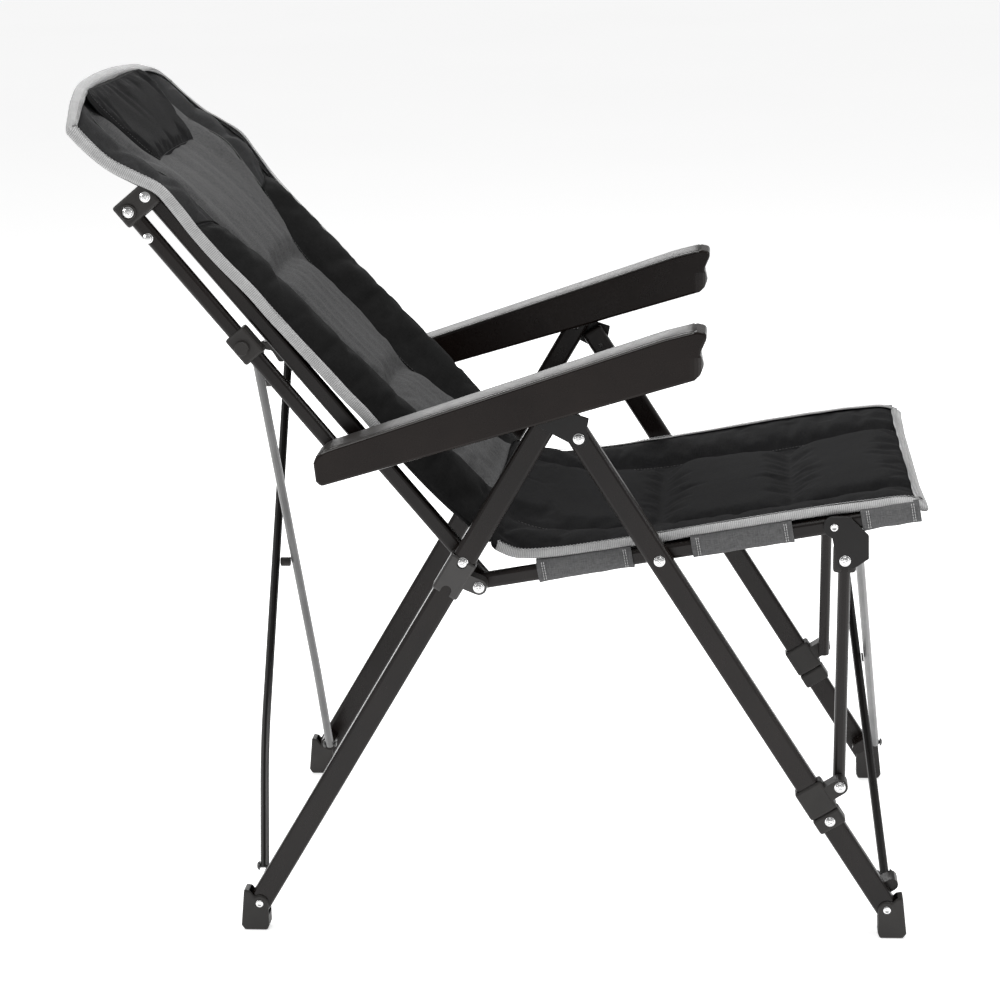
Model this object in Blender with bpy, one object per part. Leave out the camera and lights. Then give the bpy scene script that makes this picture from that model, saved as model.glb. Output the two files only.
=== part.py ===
"""High-back folding camp armchair: two A-frame sides joined by crossed braces, with a padded seat and back.

Units are metres, +X is the front, +Y the sitter's left, +Z up, and the feet stand on Z = 0.
Each side is a flat linkage whose members lie in separate lanes, so that none meets another as it folds.
"""

import math

import bmesh
import bpy
import numpy as np
from mathutils import Vector

# Side view, as (x, z) before FRAME_SHIFT centres the chair on X = 0.
FRAME_SHIFT = -0.0010
FRONT_FOOT = (0.4635, 0.0372)
ARM_PIVOT = (0.0999, 0.6212)
SEAT_PIVOT = (0.1920, 0.4734)
COLLAR = (0.3938, 0.1507)
REAR_FOOT = (-0.2990, 0.0353)
STOP_BOLT = (-0.0387, 0.4706)
REAR_LEG_TOP = (0.0664, 0.6464)
EAR_PIN = (-0.0201, 0.4410)
SEAT_FRONT_PIN = (0.3947, 0.5110)
UPRIGHT_PIN = (0.4077, 0.4706)
SLIDER_PIN = (0.4050, 0.1944)
RAIL_PIN = (-0.4144, 0.8826)
BACK_TUBE_TOP = (-0.3939, 0.9002)
RAIL_FOOT = (-0.1707, 0.5803)
BACK_SLIDER = (-0.2907, 0.7235)
FRONT_BRACE_LOW = (0.4700, 0.0630)
FRONT_BRACE_HIGH = (0.4190, 0.4680)
REAR_BRACE_LOW = (-0.2920, 0.0580)

# Lanes, as the distance of a member's middle from the chair's middle plane.
LEG_LANE = 0.260
SEAT_LANE = 0.242
RAIL_LANE = 0.2396
BACK_LANE = 0.225
ARM_LANE = 0.2725
FRONT_BRACE_LANE = 0.222
REAR_BRACE_LANE = 0.2118
REAR_BRACE_BACK = 0.006

# Tube sections: width in the side view, depth across the chair, corner radius.
LEG = (0.028, 0.016, 0.0045)
SEAT_TUBE = (0.019, 0.014, 0.0045)
BACK_TUBE = (0.020, 0.014, 0.0045)
RAIL = (0.018, 0.014, 0.0045)
UPRIGHT_RADIUS = 0.0075
BRACE_RADIUS = 0.0055
GAP = 0.0004
LEG_TIP = 0.012
FOOT_SWING_DEG = 16

ARM_WIDTH = 0.051
ARM_WALL = 0.003
PAD_HALF_WIDTH = 0.2445
PAD_THICKNESS = 0.018
SIDES = (("r", -1), ("l", 1))

TUBE_BROWN = ("tube_brown", (0.030, 0.022, 0.019), 0.35, 0.7)
BRACE_GREY = ("brace_grey", (0.16, 0.16, 0.16), 0.35, 0.7)
PLASTIC = ("dark_plastic", (0.045, 0.040, 0.037), 0.5, 0.0)
ARM_PLASTIC = ("armrest_plastic", (0.035, 0.030, 0.027), 0.3, 0.0)
BRACKET_STEEL = ("bracket_steel", (0.020, 0.018, 0.018), 0.4, 0.6)
CLAMP_STEEL = ("clamp_steel", (0.060, 0.057, 0.055), 0.4, 0.5)
FASTENER = ("fastener_chrome", (0.75, 0.75, 0.74), 0.2, 1.0)
SEAT_CLOTH = ("seat_cloth", (0.020, 0.020, 0.021), 0.9, 0.0)
BACK_CLOTH = ("back_cloth", (0.080, 0.080, 0.082), 0.9, 0.0)


def clear_scene():
    for obj in list(bpy.data.objects):
        bpy.data.objects.remove(obj, do_unlink=True)


def material(spec):
    name, colour, roughness, metallic = spec
    found = bpy.data.materials.get(name)
    if found:
        return found
    made = bpy.data.materials.new(name)
    made.use_nodes = True
    shader = made.node_tree.nodes["Principled BSDF"]
    shader.inputs["Base Color"].default_value = (*colour, 1.0)
    shader.inputs["Roughness"].default_value = roughness
    shader.inputs["Metallic"].default_value = metallic
    return made


def at(point, y):
    """The world position of a side-view point in the plane at y."""
    return Vector((point[0] + FRAME_SHIFT, y, point[1]))


def unit(start, end):
    direction = np.subtract(end, start)
    return direction / np.linalg.norm(direction)


def along(start, end, distance):
    """The point this far from start towards end, in the side view."""
    return tuple(np.asarray(start) + unit(start, end) * distance)


def offset(start, end, distance, sideways):
    """The point this far along start to end, and sideways to the left of that direction."""
    direction = unit(start, end)
    left = np.array([-direction[1], direction[0]])
    return tuple(np.asarray(start) + direction * distance + left * sideways)


def arc(centre, radius, first_deg, last_deg, steps):
    angles = np.radians(np.linspace(first_deg, last_deg, steps + 1))
    return [(centre[0] + radius * math.cos(a), centre[1] + radius * math.sin(a)) for a in angles]


def project(point, start, end):
    """The nearest point of the line from start to end."""
    return along(start, end, float(np.dot(np.subtract(point, start), unit(start, end))))


def hull(points):
    """The convex outline round some side-view points."""
    ordered = sorted(points)
    outline = []
    for run in (ordered, ordered[::-1]):
        edge = []
        for point in run:
            while len(edge) > 1 and turns_right(edge[-2], edge[-1], point):
                edge.pop()
            edge.append(point)
        outline += edge[:-1]
    return outline


def turns_right(first, second, third):
    leg, turn = np.subtract(second, first), np.subtract(third, second)
    return leg[0] * turn[1] - leg[1] * turn[0] <= 0


def heading(start, end):
    return math.degrees(math.atan2(end[1] - start[1], end[0] - start[0]))


def add_object(name, bm, origin, spec):
    """Makes the object of a world-space bmesh, with its origin on its pivot."""
    bmesh.ops.translate(bm, verts=bm.verts, vec=-origin)
    bmesh.ops.recalc_face_normals(bm, faces=bm.faces)
    mesh = bpy.data.meshes.new(name)
    bm.to_mesh(mesh)
    bm.free()
    mesh.shade_smooth()
    mesh.set_sharp_from_angle(angle=math.radians(35))
    mesh.materials.append(material(spec))
    obj = bpy.data.objects.new(name, mesh)
    obj.location = origin
    bpy.context.collection.objects.link(obj)
    return obj


def bevel(obj, width, segments=2):
    modifier = obj.modifiers.new("edges", "BEVEL")
    modifier.width = width
    modifier.segments = segments
    modifier.limit_method = "ANGLE"
    modifier.angle_limit = math.radians(40)
    return obj


def boolean(obj, other, operation="DIFFERENCE"):
    modifier = obj.modifiers.new(operation.lower(), "BOOLEAN")
    modifier.operation = operation
    modifier.object = other
    other.hide_render = True
    other.display_type = "WIRE"
    return obj


def prism_mesh(outline, low, high):
    """A side-view outline drawn out from y = low to y = high."""
    bm = bmesh.new()
    near = [bm.verts.new(at(point, low)) for point in outline]
    far = [bm.verts.new(at(point, high)) for point in outline]
    bm.faces.new(near)
    bm.faces.new(far)
    for i in range(len(outline)):
        j = (i + 1) % len(outline)
        bm.faces.new((near[i], near[j], far[j], far[i]))
    return bm


def prism(name, outline, lane, side, depth, origin, spec):
    low, high = sorted((side * (lane - depth / 2), side * (lane + depth / 2)))
    return add_object(name, prism_mesh(outline, low, high), at(origin, side * lane), spec)


def bar_outline(start, end, width, before, after):
    """A straight strip from start to end, longer by before and after."""
    length = math.dist(start, end)
    half = width / 2
    return [
        offset(start, end, -before, -half),
        offset(start, end, length + after, -half),
        offset(start, end, length + after, half),
        offset(start, end, -before, half),
    ]


def bar(name, start, end, section, lane, side, ends, origin, spec):
    width, depth, corner = section
    outline = bar_outline(start, end, width, *ends)
    obj = prism(name, outline, lane, side, depth, origin, spec)
    return bevel(obj, corner, 3)


def capsule_outline(start, end, radius, steps=8):
    turn = heading(start, end)
    return arc(end, radius, turn - 90, turn + 90, steps) + arc(start, radius, turn + 90, turn + 270, steps)


def lathe_mesh(profile, centre, direction, sides=14):
    """A closed turned solid: profile is (distance along the axis, radius), its ends on the axis."""
    axis = Vector(direction).normalized()
    across = axis.orthogonal().normalized()
    other = axis.cross(across)
    bm = bmesh.new()
    rings = []
    for distance, radius in profile:
        middle = centre + axis * distance
        if radius == 0:
            rings.append([bm.verts.new(middle)])
            continue
        angles = [2 * math.pi * i / sides for i in range(sides)]
        spokes = [across * math.cos(a) + other * math.sin(a) for a in angles]
        rings.append([bm.verts.new(middle + spoke * radius) for spoke in spokes])
    for first, second in zip(rings, rings[1:]):
        for i in range(sides):
            j = (i + 1) % sides
            near = [first[i % len(first)], first[j % len(first)]]
            far = [second[j % len(second)], second[i % len(second)]]
            bm.faces.new(list(dict.fromkeys(near + far)))
    return bm


def rod_profile(length, radius, edge=0.0008):
    side = [(0, radius - edge), (edge, radius), (length - edge, radius), (length, radius - edge)]
    return [(0, 0), *side, (length, 0)]


def bolt(name, point, side, inner, outer, head=0.0054, shank=0.003):
    """A dome-head bolt along Y: the shank runs from inner out to outer, and the head stands on outer."""
    reach = outer - inner
    dome = [(reach + head * 0.55 * math.sin(a), head * math.cos(a)) for a in np.radians([0, 25, 50, 72])]
    profile = [(0, 0), (0, shank), (reach, shank), *dome, (reach + head * 0.55, 0)]
    centre = at(point, side * inner)
    return add_object(name, lathe_mesh(profile, centre, (0, side, 0)), at(point, side * inner), FASTENER)


def drill(obj, point, radius=0.0032):
    """A hole along Y, clear of a 6 mm shank."""
    centre = at(point, -0.4)
    hole = lathe_mesh([(0, 0), (0, radius), (0.8, radius), (0.8, 0)], centre, (0, 1, 0))
    return boolean(obj, add_object(obj.name + "_drill", hole, centre, FASTENER))


def tube_mesh(points, radius, sides=12):
    """A round solid along a smooth path of world points."""
    path = [Vector(p) for p in points]
    bm = bmesh.new()
    rings = []
    across = (path[1] - path[0]).orthogonal().normalized()
    for i, point in enumerate(path):
        ahead = path[min(i + 1, len(path) - 1)] - point
        behind = point - path[max(i - 1, 0)]
        direction = (ahead.normalized() + behind.normalized()).normalized()
        across = (across - direction * across.dot(direction)).normalized()
        other = direction.cross(across)
        angles = [2 * math.pi * k / sides for k in range(sides)]
        spokes = [across * math.cos(a) + other * math.sin(a) for a in angles]
        rings.append([bm.verts.new(point + spoke * radius) for spoke in spokes])
    for first, second in zip(rings, rings[1:]):
        for i in range(sides):
            j = (i + 1) % sides
            bm.faces.new((first[i], first[j], second[j], second[i]))
    bm.faces.new(rings[0])
    bm.faces.new(rings[-1])
    return bm


def bent_path(start, bend, end, radius=0.05, steps=5):
    """A straight run from start, a smooth bend and a straight run to end."""
    start, bend, end = Vector(start), Vector(bend), Vector(end)
    leave = bend + (start - bend).normalized() * radius
    meet = bend + (end - bend).normalized() * radius
    curve = []
    for i in range(steps + 1):
        t = i / steps
        curve.append(leave * (1 - t) ** 2 + bend * 2 * t * (1 - t) + meet * t**2)
    return [start, *curve, end]


def legs_and_feet(tag, side):
    front = leg(f"front_leg_{tag}", (FRONT_FOOT, ARM_PIVOT), 0.025, FRONT_FOOT, side)
    drill(drill(front, ARM_PIVOT), SEAT_PIVOT)
    brace_lug(front, FRONT_FOOT, ARM_PIVOT, FRONT_BRACE_LOW, FRONT_BRACE_LANE, side)
    rear = leg(f"rear_leg_{tag}", (REAR_FOOT, REAR_LEG_TOP), 0.014, REAR_LEG_TOP, side)
    drill(drill(rear, REAR_LEG_TOP), STOP_BOLT)
    brace_lug(rear, REAR_FOOT, REAR_LEG_TOP, REAR_BRACE_LOW, REAR_BRACE_LANE, side)
    foot_cap(f"front_foot_{tag}", FRONT_FOOT, ARM_PIVOT, side)
    foot_cap(f"rear_foot_{tag}", REAR_FOOT, REAR_LEG_TOP, side)


def leg(name, run, after, origin, side):
    return bar(name, *run, LEG, LEG_LANE, side, (LEG_TIP, after), origin, TUBE_BROWN)


def brace_lug(leg_obj, foot, knee, lug, lane, side):
    """An ear on the inside of the leg, just above its foot, that holds a brace's lower end."""
    face = LEG_LANE - LEG[1] / 2
    inner = lane + BRACE_RADIUS + GAP
    outline = capsule_outline(project(lug, foot, knee), lug, 0.0075, 6)
    middle, reach = (face + inner) / 2 + 0.001, face - inner + 0.002
    boolean(leg_obj, prism(leg_obj.name + "_lug", outline, middle, side, reach, lug, PLASTIC), "UNION")


def foot_cap(name, foot, knee, side):
    """A moulded shoe that swivels on the leg's rivet: two round ears, a high outer wall and a flat sole."""
    lean = 1 if knee[0] < foot[0] else -1
    profile = [(-0.0080, 0.0), (0.0200, 0.0), (0.0240, 0.0060), (0.0190, 0.0530), (0.0115, 0.0515)]
    profile += arc((0.0, foot[1]), 0.0106, 55, 190, 8) + [(-0.0105, 0.0060)]
    outline = [(foot[0] + lean * reach, height) for reach, height in profile]
    cap = bevel(prism(name, outline, LEG_LANE, side, 0.022, foot, PLASTIC), 0.002, 2)
    width, depth, _ = LEG
    corners = []
    for swing in (0, -lean * FOOT_SWING_DEG):
        turned = arc(foot, 0.06, heading(foot, knee) + swing, 0, 0)[0]
        corners += bar_outline(foot, turned, width + 0.0009, LEG_TIP + 0.0005, 0)
    slot = prism(name + "_slot", hull(corners), LEG_LANE, side, depth + 0.0008, foot, PLASTIC)
    boolean(cap, slot)


def sleeve(name, tube, centre, length, wall, depth_wall, lane, side, origin, spec, ear=None):
    """A sleeve round a straight tube, with an optional round ear beside it."""
    start, end, section = tube
    width, depth, _ = section
    near = along(centre, start, length / 2)
    far = along(centre, end, length / 2)
    outline = bar_outline(near, far, width + 2 * wall, 0, 0)
    thickness = depth + 2 * depth_wall
    outer = bevel(prism(name, outline, lane, side, thickness, origin, spec), 0.003, 2)
    if ear:
        outline = capsule_outline(centre, ear, 0.0095)
        ear_obj = prism(name + "_ear", outline, lane, side, thickness - 0.001, origin, spec)
        boolean(outer, ear_obj, "UNION")
    outline = bar_outline(near, far, width + 2 * GAP, 0.05, 0.05)
    return boolean(outer, prism(name + "_bore", outline, lane, side, depth + 2 * GAP, origin, spec))


def front_sliders(tag, side):
    leg = (FRONT_FOOT, ARM_PIVOT, LEG)
    middle = project(COLLAR, FRONT_FOOT, ARM_PIVOT)
    sleeve(f"stop_collar_{tag}", leg, middle, 0.021, 0.0035, 0.0025, LEG_LANE, side, middle, PLASTIC)
    middle = along(middle, ARM_PIVOT, 0.0308)
    name = f"front_slider_{tag}"
    slider = sleeve(name, leg, middle, 0.040, 0.004, 0.0025, LEG_LANE, side, middle, PLASTIC, SLIDER_PIN)
    drill(slider, SLIDER_PIN)
    bolt(f"slider_bolt_{tag}", SLIDER_PIN, side, 0.2515, 0.2705)


def rear_clamp(tag, side):
    """A bent-steel sleeve on the rear leg: its notches take the stop bolt, and its ear carries the seat."""
    middle = along(project(STOP_BOLT, REAR_FOOT, REAR_LEG_TOP), REAR_FOOT, 0.020)
    tube = (REAR_FOOT, REAR_LEG_TOP, LEG)
    name = f"rear_clamp_{tag}"
    clamp = sleeve(name, tube, middle, 0.050, 0.0026, 0.0022, LEG_LANE, side, middle, CLAMP_STEEL, EAR_PIN)
    for end, place in ((REAR_LEG_TOP, "upper"), (REAR_FOOT, "lower")):
        tip = along(middle, end, 0.0190)
        beyond = along(middle, end, 0.05)
        outline = capsule_outline(tip, beyond, 0.0062)
        boolean(clamp, prism(f"{name}_{place}_notch", outline, LEG_LANE, side, 0.05, middle, CLAMP_STEEL))
    drill(clamp, EAR_PIN)
    bolt(f"clamp_bolt_{tag}", EAR_PIN, side, 0.2515, 0.2705)
    bolt(f"stop_bolt_{tag}", STOP_BOLT, side, 0.2525, 0.2684, 0.0056)


def seat_side(tag, side):
    ends = (0.012, 0.094)
    run = (EAR_PIN, SEAT_FRONT_PIN)
    tube = bar(f"seat_tube_{tag}", *run, SEAT_TUBE, SEAT_LANE, side, ends, SEAT_PIVOT, TUBE_BROWN)
    drill(tube, SEAT_PIVOT)
    bolt(f"seat_bolt_{tag}", SEAT_PIVOT, side, 0.2365, 0.2684)
    outline = arc(SEAT_FRONT_PIN, 0.013, 80, 260, 8)
    outline += [
        (UPRIGHT_PIN[0] - 0.008, UPRIGHT_PIN[1] - 0.009),
        (UPRIGHT_PIN[0] + 0.010, UPRIGHT_PIN[1] - 0.010),
        (0.4355, 0.4730),
        (0.4350, 0.5010),
        (0.4120, 0.5240),
    ]
    plate = prism(f"seat_bracket_{tag}", outline, 0.2522, side, 0.0050, SEAT_FRONT_PIN, BRACKET_STEEL)
    bevel(plate, 0.0006, 1)
    drill(plate, UPRIGHT_PIN)
    length = math.dist(SLIDER_PIN, UPRIGHT_PIN)
    low = at(along(UPRIGHT_PIN, SLIDER_PIN, length + 0.008), side * SEAT_LANE)
    up = at(UPRIGHT_PIN, 0) - at(SLIDER_PIN, 0)
    upright = lathe_mesh(rod_profile(length + 0.004, UPRIGHT_RADIUS), low, up, 16)
    add_object(f"upright_{tag}", upright, at(UPRIGHT_PIN, side * SEAT_LANE), TUBE_BROWN)
    upright_cap(tag, side)
    bolt(f"cap_bolt_{tag}", UPRIGHT_PIN, side, 0.2495, 0.2549)


def upright_cap(tag, side):
    """A moulded cap on the upright's top end, pinned to the seat bracket."""
    low = along(UPRIGHT_PIN, SLIDER_PIN, 0.017)
    high = along(UPRIGHT_PIN, SLIDER_PIN, -0.015)
    outline = bar_outline(low, high, 0.027, 0, 0)
    cap = bevel(prism(f"upright_cap_{tag}", outline, 0.2415, side, 0.0155, UPRIGHT_PIN, PLASTIC), 0.004, 3)
    start = at(along(UPRIGHT_PIN, SLIDER_PIN, -0.0043), side * SEAT_LANE)
    direction = at(SLIDER_PIN, 0) - at(UPRIGHT_PIN, 0)
    radius = UPRIGHT_RADIUS + GAP
    hole = lathe_mesh([(0, 0), (0, radius), (0.033, radius), (0.033, 0)], start, direction, 16)
    boolean(cap, add_object(f"upright_cap_{tag}_socket", hole, start, PLASTIC))


def back_side(tag, side):
    ends = (0.010, 0.011)
    bar(f"back_tube_{tag}", BACK_TUBE_TOP, EAR_PIN, BACK_TUBE, BACK_LANE, side, ends, EAR_PIN, TUBE_BROWN)
    ends = (0.009, 0.009)
    rail = bar(f"back_rail_{tag}", RAIL_PIN, RAIL_FOOT, RAIL, RAIL_LANE, side, ends, RAIL_PIN, TUBE_BROWN)
    drill(rail, RAIL_PIN)
    stub_start = RAIL_LANE + RAIL[1] / 2 - 0.002
    stub_length = ARM_LANE - ARM_WIDTH / 2 + ARM_WALL - stub_start
    stub_base = at(RAIL_FOOT, side * stub_start)
    stub = lathe_mesh(rod_profile(stub_length, 0.003, 0.0004), stub_base, (0, side, 0), 12)
    boolean(rail, add_object(f"back_rail_{tag}_stub", stub, at(RAIL_FOOT, 0), TUBE_BROWN), "UNION")
    top_bracket(tag, side)
    seat_on = project(BACK_SLIDER, RAIL_PIN, RAIL_FOOT)
    track = (RAIL_PIN, RAIL_FOOT, RAIL)
    name = f"back_slider_{tag}"
    slider = sleeve(name, track, seat_on, 0.038, 0.0055, 0.0030, RAIL_LANE, side, seat_on, PLASTIC)
    boss = lathe_mesh(rod_profile(0.006, 0.0085), at(BACK_SLIDER, side * 0.2486), (0, side, 0), 16)
    boolean(slider, add_object(name + "_boss", boss, at(BACK_SLIDER, 0), PLASTIC), "UNION")


def top_bracket(tag, side):
    """A moulded box, open in front and below, fixed to the back tube's top end and pinned to the rail's."""
    middle = tuple(np.add(BACK_TUBE_TOP, RAIL_PIN) / 2)
    down = unit(BACK_TUBE_TOP, EAR_PIN)
    across = np.array([-down[1], down[0]])
    behind, ahead, half_long = -0.0262, 0.0234, 0.0150
    outer, inner = 0.2504, 0.2145
    lane = (outer + inner) / 2
    name = f"top_bracket_{tag}"
    corners = ((behind, -1), (ahead, -1), (ahead, 1), (behind, 1))
    outline = [tuple(middle + across * a + down * b * half_long) for a, b in corners]
    bracket = bevel(prism(name, outline, lane, side, outer - inner, BACK_TUBE_TOP, PLASTIC), 0.003, 2)
    corners = ((behind + 0.0025, -1), (ahead + 0.004, -1), (ahead + 0.004, 1), (behind + 0.0025, 1))
    pocket = [tuple(middle + across * a + down * (b * half_long + 0.003)) for a, b in corners]
    depth = outer - inner - 0.0062
    boolean(bracket, prism(name + "_pocket", pocket, lane - 0.0003, side, depth, BACK_TUBE_TOP, PLASTIC))
    drill(bracket, RAIL_PIN)
    bolt(f"rail_bolt_{tag}", RAIL_PIN, side, 0.2335, 0.2509)


def nose_corner(name, side, hand):
    """What is cut off one side of an armrest's nose to round it under its lip."""
    start, reach, width = 0.2225, 0.0215, 0.0225
    inner = ARM_WIDTH / 2 + 0.0005 - width
    plan = [(start + reach * math.sin(a), inner + width * math.cos(a)) for a in np.radians(range(0, 91, 15))]
    plan += [(0.2600, inner), (0.2600, 0.0400), (start, 0.0400)]
    bm = bmesh.new()
    rings = []
    for height in (0.6600, 0.7215):
        ring = [bm.verts.new(at((x, height), side * (ARM_LANE + hand * across))) for x, across in plan]
        rings.append(ring)
        bm.faces.new(ring)
    for i, first in enumerate(rings[0]):
        j = (i + 1) % len(plan)
        bm.faces.new((first, rings[0][j], rings[1][j], rings[1][i]))
    return add_object(name, bm, at(ARM_PIVOT, side * ARM_LANE), ARM_PLASTIC)


def armrest(tag, side):
    """A moulded channel, open underneath, with a round nose under a short lip."""
    outline = [
        (-0.1977, 0.5701),
        (0.2330, 0.6945),
        (0.2400, 0.7000),
        (0.2440, 0.7090),
        (0.2405, 0.7240),
        (0.2412, 0.7290),
        (0.2478, 0.7440),
        (0.2460, 0.7500),
        (0.2360, 0.7520),
        (0.2000, 0.7430),
        (-0.1900, 0.6135),
        (-0.2020, 0.6060),
        (-0.2055, 0.5980),
        (-0.2035, 0.5760),
    ]
    name = f"armrest_{tag}"
    shell = bevel(prism(name, outline, ARM_LANE, side, ARM_WIDTH, ARM_PIVOT, ARM_PLASTIC), 0.004, 2)
    for hand, which in ((1, "outer"), (-1, "inner")):
        boolean(shell, nose_corner(f"{name}_{which}_corner", side, hand))
    channel = [(-0.1950, 0.5500), (0.2150, 0.6700), (0.2150, 0.7280), (-0.1950, 0.6030)]
    inside = ARM_WIDTH - 2 * ARM_WALL
    boolean(shell, prism(name + "_channel", channel, ARM_LANE, side, inside, ARM_PIVOT, ARM_PLASTIC))
    inboard = at(RAIL_FOOT, side * (ARM_LANE - ARM_WIDTH / 2 - 0.002))
    hole = lathe_mesh([(0, 0), (0, 0.0075), (0.008, 0.0075), (0.008, 0)], inboard, (0, side, 0))
    boolean(shell, add_object(name + "_eye", hole, inboard, ARM_PLASTIC))
    plate = arc(ARM_PIVOT, 0.0115, -150, 40, 8)
    plate += [(0.1120, 0.6450), (0.0560, 0.6640), (0.0430, 0.6560), (0.0440, 0.6400)]
    bracket = prism(f"arm_bracket_{tag}", plate, 0.2700, side, 0.0032, ARM_PIVOT, BRACKET_STEEL)
    drill(drill(bevel(bracket, 0.0006, 1), ARM_PIVOT), REAR_LEG_TOP)
    bolt(f"arm_bolt_{tag}", ARM_PIVOT, side, 0.2525, 0.2720)


def brace_pair(kind, low, high, lane, spread, bend_out, back=0.0, toe=0.0):
    """Two bent tubes crossing on a spacer: brace a rises from the right foot, brace b from the left.

    The pair stands this far back from its pins, with brace a behind brace b, its foot bent forward by toe.
    """
    normal = Vector((-(high[1] - low[1]), 0, high[0] - low[0])).normalized()
    if normal.x < 0:
        normal = -normal
    looks = {"a": (-1, TUBE_BROWN), "b": (1, BRACE_GREY)}
    for tag, (sign, spec) in looks.items():
        shift = normal * (sign * spread - back)
        top = at(high, -sign * lane) + shift
        foot = at(low, sign * lane) + shift
        bend = foot.lerp(top, 0.2) + Vector((0, sign * bend_out, 0))
        path = bent_path(top, bend, foot + Vector((toe if tag == "a" else 0, 0, 0)))
        add_object(f"{kind}_brace_{tag}", tube_mesh(path, BRACE_RADIUS), at(low, sign * lane), spec)
    length = 2 * (spread - BRACE_RADIUS) - 2 * GAP
    middle = at(tuple(np.add(low, high) / 2), 0) - normal * (length / 2 + back)
    spacer = lathe_mesh(rod_profile(length, 0.0060, 0.0004), middle, normal, 16)
    add_object(f"{kind}_brace_spacer", spacer, at(tuple(np.add(low, high) / 2), 0), PLASTIC)
    return normal


def transport_catch(normal):
    """A hook and a peg behind the upper part of rear brace a, which hold the folded bundle."""
    foot = at(REAR_BRACE_LOW, -REAR_BRACE_LANE) - normal * (0.012 + REAR_BRACE_BACK)
    top = at(BACK_SLIDER, REAR_BRACE_LANE) - normal * (0.012 + REAR_BRACE_BACK)
    start = foot.lerp(top, 0.2) + Vector((0, -0.009, 0))
    for name, height, reach in (("transport_hook", 0.634, 0.030), ("hook_peg", 0.600, 0.027)):
        share = (height - start.z) / (top.z - start.z)
        spot = start.lerp(top, share)
        edge = (spot.x - BRACE_RADIUS - 0.0012 - FRAME_SHIFT, height)
        if name == "transport_hook":
            outline = [edge, (edge[0], height + 0.012), (edge[0] - reach + 0.004, height + 0.016)]
            outline += [(edge[0] - reach - 0.004, height + 0.012), (edge[0] - reach - 0.004, height - 0.004)]
            outline += [(edge[0] - reach + 0.003, height - 0.006), (edge[0] - reach + 0.004, height + 0.005)]
            outline += [(edge[0] - reach / 2, height + 0.003)]
            outline += [(edge[0] - 0.006, height - 0.012), (edge[0], height - 0.012)]
            low, high = spot.y - 0.006, spot.y + 0.006
            bevel(add_object(name, prism_mesh(outline, low, high), at(edge, spot.y), PLASTIC), 0.0012, 1)
            continue
        peg = [(0, 0), (0, 0.0040), (0.010, 0.0040), (0.0105, 0.0075), (reach, 0.0075)]
        peg += [(reach + 0.001, 0.0065), (reach + 0.001, 0)]
        add_object(name, lathe_mesh(peg, at(edge, spot.y), (-1, 0, 0)), at(edge, spot.y), PLASTIC)


def pad_mesh(centre_line, thickness, half_width, rise=0.0, sag=0.0, taper=0.35):
    """A padded panel: a row of stations with a rounded section.

    rise lifts the middle of the last edge, and sag lowers the panel between its two sides.
    """
    shares = np.linspace(-1, 1, 13)
    count = len(centre_line)
    bm = bmesh.new()
    tops, bottoms = [], []
    for i, point in enumerate(centre_line):
        before = centre_line[max(i - 1, 0)]
        after = centre_line[min(i + 1, count - 1)]
        direction = unit(before, after)
        left = np.array([-direction[1], direction[0]])
        end = 0.45 if i in (0, count - 1) else 1.0
        top, bottom = [], []
        for share in shares:
            swell = thickness / 2 * end * (1 - (1 - taper) * abs(share) ** 6)
            lift = rise * (1 - share**2) * (i == count - 1)
            middle = np.asarray(point) + direction * lift - left * sag * (1 - share**2) * end
            top.append(bm.verts.new(at(tuple(middle + left * swell), share * half_width)))
            bottom.append(bm.verts.new(at(tuple(middle - left * thickness / 2 * end), share * half_width)))
        tops.append(top)
        bottoms.append(bottom)
    for rows, flip in ((tops, False), (bottoms, True)):
        for i in range(count - 1):
            for k in range(len(shares) - 1):
                quad = [rows[i][k], rows[i][k + 1], rows[i + 1][k + 1], rows[i + 1][k]]
                bm.faces.new(quad[::-1] if flip else quad)
    for i in range(count - 1):
        bm.faces.new((tops[i][0], tops[i + 1][0], bottoms[i + 1][0], bottoms[i][0]))
        bm.faces.new((tops[i][-1], bottoms[i][-1], bottoms[i + 1][-1], tops[i + 1][-1]))
    for k in range(len(shares) - 1):
        bm.faces.new((tops[0][k], bottoms[0][k], bottoms[0][k + 1], tops[0][k + 1]))
        bm.faces.new((tops[-1][k], tops[-1][k + 1], bottoms[-1][k + 1], bottoms[-1][k]))
    return bm


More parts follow.
